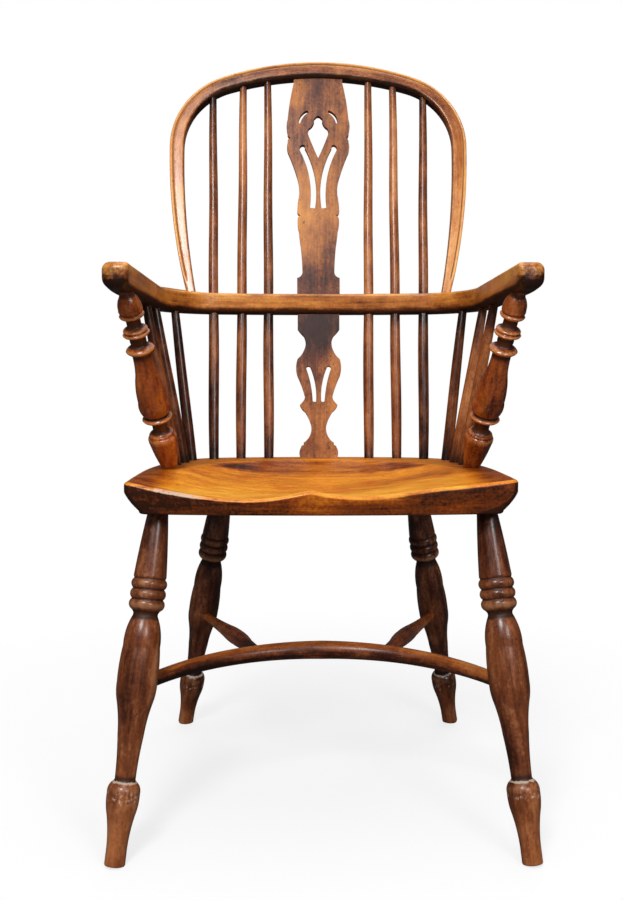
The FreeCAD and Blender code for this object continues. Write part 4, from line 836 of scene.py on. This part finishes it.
def swing(circle, start, end, count):
    """Points of an arc of the circle, in even turns from one direction up to another."""
    return on_circle(*circle, np.linspace(start, end, count, endpoint=False))


def facing(corner, circle):
    """Direction from a circle's centre through the centre of the corner that it holds."""
    return math.atan2(corner[1] - circle[1], corner[0] - circle[0])


def seat_outline(inset_side, inset_front, front_corner):
    """The plank's outline in plan, drawn in by the two insets: six arcs to a side that meet smoothly, the
    front, its corner, two that meet on the widest line, the rear corner and the back."""
    front_arc, before_arc, behind_arc, back_arc, rear_corner = 1780.0, 6000.0, 690.0, 970.0, 100.0
    front = (0.0, SEAT_FRONT + front_arc, front_arc - inset_front)
    before = (SEAT_HALF - before_arc, SEAT_WIDEST, before_arc - inset_side)
    behind = (SEAT_HALF - behind_arc, SEAT_WIDEST, behind_arc - inset_side)
    back = (0.0, SEAT_BACK - back_arc, back_arc - inset_side)
    fore = corner_of(front, before, front_corner)
    rear = corner_of(behind, back, rear_corner - inset_side)
    from_front, to_side = facing(fore, front), facing(fore, before)
    from_side, to_back = facing(rear, behind), facing(rear, back)
    half = np.concatenate([
        swing(front, -math.pi / 2, from_front, 60),
        swing(fore, from_front, to_side, 14),
        swing(before, to_side, 0.0, 36),
        swing(behind, 0.0, from_side, 40),
        swing(rear, from_side, to_back, 40),
        swing(back, to_back, math.pi / 2, 50),
        np.array([[0.0, SEAT_BACK - inset_side]]),
    ])
    return np.concatenate([half, (half * [-1, 1])[-2:0:-1]])


def saddle_height(x, y):
    """Height of the dish over the rim: the pommel's ridge, which is a hump across times a hump from the
    front, less a bowl. The bowl is its depth times one minus powers of the distances out and back, so it is
    open to the front and squarer behind, deeper on the sitter's right and shallower on the left."""
    blend = ramp(y, -150.0, -10.0)
    blend = blend * blend * (3 - 2 * blend)
    half = 236.0 + (196.0 - 236.0) * blend
    behind = np.maximum(0.0, y + 60.0) / 222.0
    power = 2.0 + 0.5 * blend
    bowl = (25.0 - 1.5 * blend) * (1 - (np.abs(x) / half) ** power - behind ** power)
    uneven = 0.06 * ramp(x, -20.0, -110.0) - 0.55 * ramp(x, 5.0, 140.0) * ramp(y, 40.0, -130.0)
    bowl = bowl * (1 + uneven * (bowl > 0))
    ridge = hump(np.abs(x - POMMEL), -4.0, 56.0, 1.4) * hump(y, SEAT_FRONT, 78.0)
    return 17.5 * ridge - bowl


def surface_height(x, y):
    """Height of the seat's top over the underside: the lower of the rim and the dish, with a soft crease
    where they meet. The front corners have lifted a little with age."""
    dish = saddle_height(x, y)
    crease, crease_rise = 1.1, 0.12
    lift = (3.6 + 1.4 * np.tanh(x / 60.0)) * ramp(y, 90.0, SEAT_FRONT) * ramp(np.abs(x), 0, 236.0) ** 1.6
    return SEAT_THICKNESS + 0.5 * (dish - np.sqrt(dish * dish + crease * crease)) + crease_rise + lift


widest = seat_outline(0.0, 0.0, 10.0)
middle = seat_outline(8.8, 2.0, 10.0)
bottom = seat_outline(21.5, 6.0, 10.0)
top_edge = seat_outline(SEAT_ARRIS, SEAT_ARRIS, 8.0)


def wall(height):
    """The plank's side at a height over its underside: the quadratic curve through the three outlines."""
    q = ramp(height, SEAT_WALL, 0)[:, None]
    knee = 1 - SEAT_KNEE / SEAT_WALL
    first = (q - knee) * (q - 1) / knee
    second = q * (q - 1) / (knee * (knee - 1))
    third = q * (q - knee) / (1 - knee)
    return widest * first + middle * second + bottom * third


# The seat's rows run from its middle over the top, the arris, the bevelled wall and the lower arris to the
# middle of the underside
rows = []
for share in np.linspace(0.0, 1.0, 90)[1:] ** 0.8:
    plan = seat_centre + (top_edge - seat_centre) * share
    rows.append(np.column_stack([plan, surface_height(plan[:, 0], plan[:, 1])]))
top_rows = len(rows)
wall_top = rows[-1][:, 2] - SEAT_ARRIS
for angle in np.linspace(math.pi / 2, 0, 8)[1:]:
    level = wall_top + SEAT_ARRIS * math.sin(angle)
    plan = wall(level) + (top_edge - widest) * (1 - math.cos(angle))
    rows.append(np.column_stack([plan, level]))
for share in np.linspace(0, 1, 16)[1:]:
    level = wall_top * (1 - share) + UNDER_ARRIS * share
    rows.append(np.column_stack([wall(level), level]))
inwards = seat_centre - bottom
inwards /= np.linalg.norm(inwards, axis=1)[:, None]
under_edge = rows[-1][:, :2]
for angle in np.linspace(0, math.pi / 2, 6)[1:]:
    level = np.full(len(bottom), UNDER_ARRIS * (1 - math.sin(angle)))
    rows.append(np.column_stack([under_edge + inwards * 4.2 * (1 - math.cos(angle)), level]))
edge = rows[-1][:, :2]
for share in np.linspace(1, 0, 24)[1:-1]:
    rows.append(np.column_stack([seat_centre + (edge - seat_centre) * share, np.zeros(len(edge))]))
grid = np.array(rows)
x, y, z = grid[..., 0], grid[..., 1], grid[..., 2]
out = np.abs(x)
# the plank has shrunk a little more on the sitter's left
points = np.stack([np.where(x > 0, x * 0.98, x), y - DATUM, z + SEAT_UNDERSIDE], -1)
grain = grain_of(y + 260, z + 60, x + 900)
row = np.arange(len(rows))[:, None]
on_top, below = row < top_rows, row >= top_rows + 5
on_edge = (row >= top_rows - 2) & (row < top_rows + 6)
# the top: worn in front and on the pommel, there also paler as painted light; dirty along the rim; darker
# behind, painted shade on the dish's rear slope, and darker in the corners
dish = saddle_height(x, y)
# the front of the dish: rubbed paler, which also paints the light on it
rubbed_and_lit = ramp(y, -20, -110) * ramp(out, 225, 165)
rim = ramp(dish, -3.0, 2.0)
corner = ramp(out, 188, 214)
# painted shade on the dish's rear slope, deepest on its sides
behind = ramp(y, 76, 96) * ramp(dish, 0, -4.0)
flanks = behind * hump(np.abs(x - 10), 142, 42.0)
# the pommel: worn paler, which also paints its highlight
pommel = hump(x, POMMEL, 30.0) * ramp(y, -120, -160)
wear_and_highlight = on_top * (0.5 * rubbed_and_lit * (0.4 + 0.6 * ramp(dish, 0, -12.0)) * (1 - corner) + 0.6 * pommel)
# the bevelled sides and the underside: darker and grime-coloured, by dirt and painted shade, less so along
# the front
dirt_and_shade = on_top * rim * 0.4 * ramp(y, -70, 0) + below * np.where(y < -170, 0.4, 0.7)
stained = on_top * (0.3 * behind + 0.48 * flanks + 0.5 * corner - 0.35 * rubbed_and_lit * (1 - corner))
stained = stained + below * np.where(y < -170, 0.68, 0.9)
# the front edge: dark towards its ends, ruddy under the pommel and rubbed pale to one side of it
on_front = below * (y < -165)
ruddy = hump(x, -18, 34.0)
pale = hump(x, 66, 40.0) * hump(z, 22, 6.0)
wear_and_highlight = wear_and_highlight + on_edge * 0.35 + on_front * 0.3 * pale
dirt_and_shade = dirt_and_shade - on_front * 0.5 * np.clip(ruddy + pale, 0, 1)
stained = stained + on_front * (0.1 * ramp(out, 64, 224) - 0.3 * ruddy - 0.4 * pale)
# small chips along the arris at the sitter's right
chips = on_edge * hump(x, -175, 50.0) * (y < -120)
made("seat", SEAT_WOOD, points, grain, stained, wear_and_highlight, dirt_and_shade, chips)

# Splats: the fretted boards keep their CAD outline, and get eased arrises and each its own stretch of grain
splat_foot = at(0, 184.0, SEAT_TOP)
splat_head = hoop_middle(0.0)
splat_up = (splat_head - splat_foot) / np.linalg.norm(splat_head - splat_foot)
splat_front = np.array([0, splat_up[2], -splat_up[1]])
for node, shift in (("splat_lower", 0.0), ("splat_upper", 3.1)):
    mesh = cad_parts[node].data.copy()
    shape = bmesh.new()
    shape.from_mesh(mesh)
    bmesh.ops.remove_doubles(shape, verts=shape.verts, dist=0.00001)
    bmesh.ops.dissolve_limit(
        shape, angle_limit=math.radians(1.0), verts=shape.verts, edges=shape.edges,
        use_dissolve_boundaries=False)
    shape.to_mesh(mesh)
    shape.free()
    mesh.name = node + "_board"
    places = points_of(mesh)
    up = (places - splat_foot * MM) @ splat_up
    through = (places - splat_foot * MM) @ splat_front
    grain = grain_of(places[:, 0] + 0.09, through + 0.012, up + shift)
    board = finished(mesh, node, SPLAT_WOOD, grain, marks=0 * grain, stained=0 * up)
    bevel = board.modifiers.new("eased", "BEVEL")
    bevel.width = 0.0009
    bevel.segments = 2
    bevel.limit_method = "ANGLE"
    bevel.angle_limit = math.radians(50)


# Floor, light and camera
def stage_material():
    """A pale floor that fades to white all round the chair, and still takes its shadow: a diffuse surface
    and, for the camera, a share of white that grows by a smooth step with the distance from the middle."""
    shade = Shade(bpy.data.materials.new("stage"))
    camera = shade.add("ShaderNodeLightPath", {}, {}, output=0)
    glossy = shade.add("ShaderNodeLightPath", {}, {}, output=3)
    lit = shade.add("ShaderNodeBsdfDiffuse", {}, {"Color": 0.3 + 0.56 * camera - 0.24 * glossy})
    white = shade.add("ShaderNodeEmission", {}, {"Color": (1, 1, 1, 1), "Strength": 1.0})
    place = shade.add("ShaderNodeTexCoord", {}, {}, output=3)
    away = shade.add("ShaderNodeVectorMath", {"operation": "LENGTH"}, {0: place}, output=1)
    seen = camera * (0.72 + 0.28 * away.step(0.25, 1.1))
    both = shade.add("ShaderNodeMixShader", {}, {0: seen, 1: lit, 2: white})
    shade.add("ShaderNodeOutputMaterial", {}, {"Surface": both})
    return shade.owner


FLOOR_HALF = 14.0
floor_mesh = bpy.data.meshes.new("floor")
corners = [(x * FLOOR_HALF, y * FLOOR_HALF, 0) for x, y in ((-1, -1), (1, -1), (1, 1), (-1, 1))]
floor_mesh.from_pydata(corners, [], [(0, 1, 2, 3)])
floor_mesh.materials.append(stage_material())
floor = placed("floor", floor_mesh)

# White to the camera, and dimmer as light and in reflections
studio = Shade(bpy.data.worlds.new("studio"))
bpy.context.scene.world = studio.owner
camera = studio.add("ShaderNodeLightPath", {}, {}, output=0)
glossy = studio.add("ShaderNodeLightPath", {}, {}, output=3)
strength = 0.3 + 0.7 * camera - 0.24 * glossy
sky = studio.add("ShaderNodeBackground", {}, {"Color": (1, 1, 1, 1), "Strength": strength})
studio.add("ShaderNodeOutputWorld", {}, {"Surface": sky})


def lamp(name, place, aim, width, power):
    """A round lamp that faces the chair's middle line at the height aim: tilted by the angle between
    straight down and the way there, and turned to that way in plan."""
    light = bpy.data.lights.new(name, "AREA")
    light.shape = "DISK"
    light.size = width
    light.energy = power
    holder = placed(name, light)
    holder.location = place
    way = np.array([0, 0, aim]) - np.array(place)
    flat_way = math.hypot(way[0], way[1])
    holder.rotation_euler = (math.atan2(flat_way, -way[2]), 0, math.atan2(way[1], way[0]) - math.pi / 2)


lamp("key", (-0.65, -2.2, 2.35), 0.5, 0.8, 58)
lamp("fill", (1.15, -2.3, 1.6), 0.45, 0.8, 22)
lamp("top", (0.1, -0.4, 3.0), 0.5, 1.8, 24)
lamp("rear", (0.3, 1.5, 3.0), 0.5, 2.8, 24)

# The photograph's viewing angle
camera_data = bpy.data.cameras.new("camera")
camera_data.lens = 38.40
camera_data.sensor_width = 36.0
camera = placed("camera", camera_data)
camera.location = (-0.02437, -1.32306 - DATUM * MM, 0.58482)
camera.rotation_euler = (math.radians(85.44), 0, math.radians(-0.49))
bpy.context.scene.camera = camera
bpy.context.scene.view_settings.view_transform = "Standard"
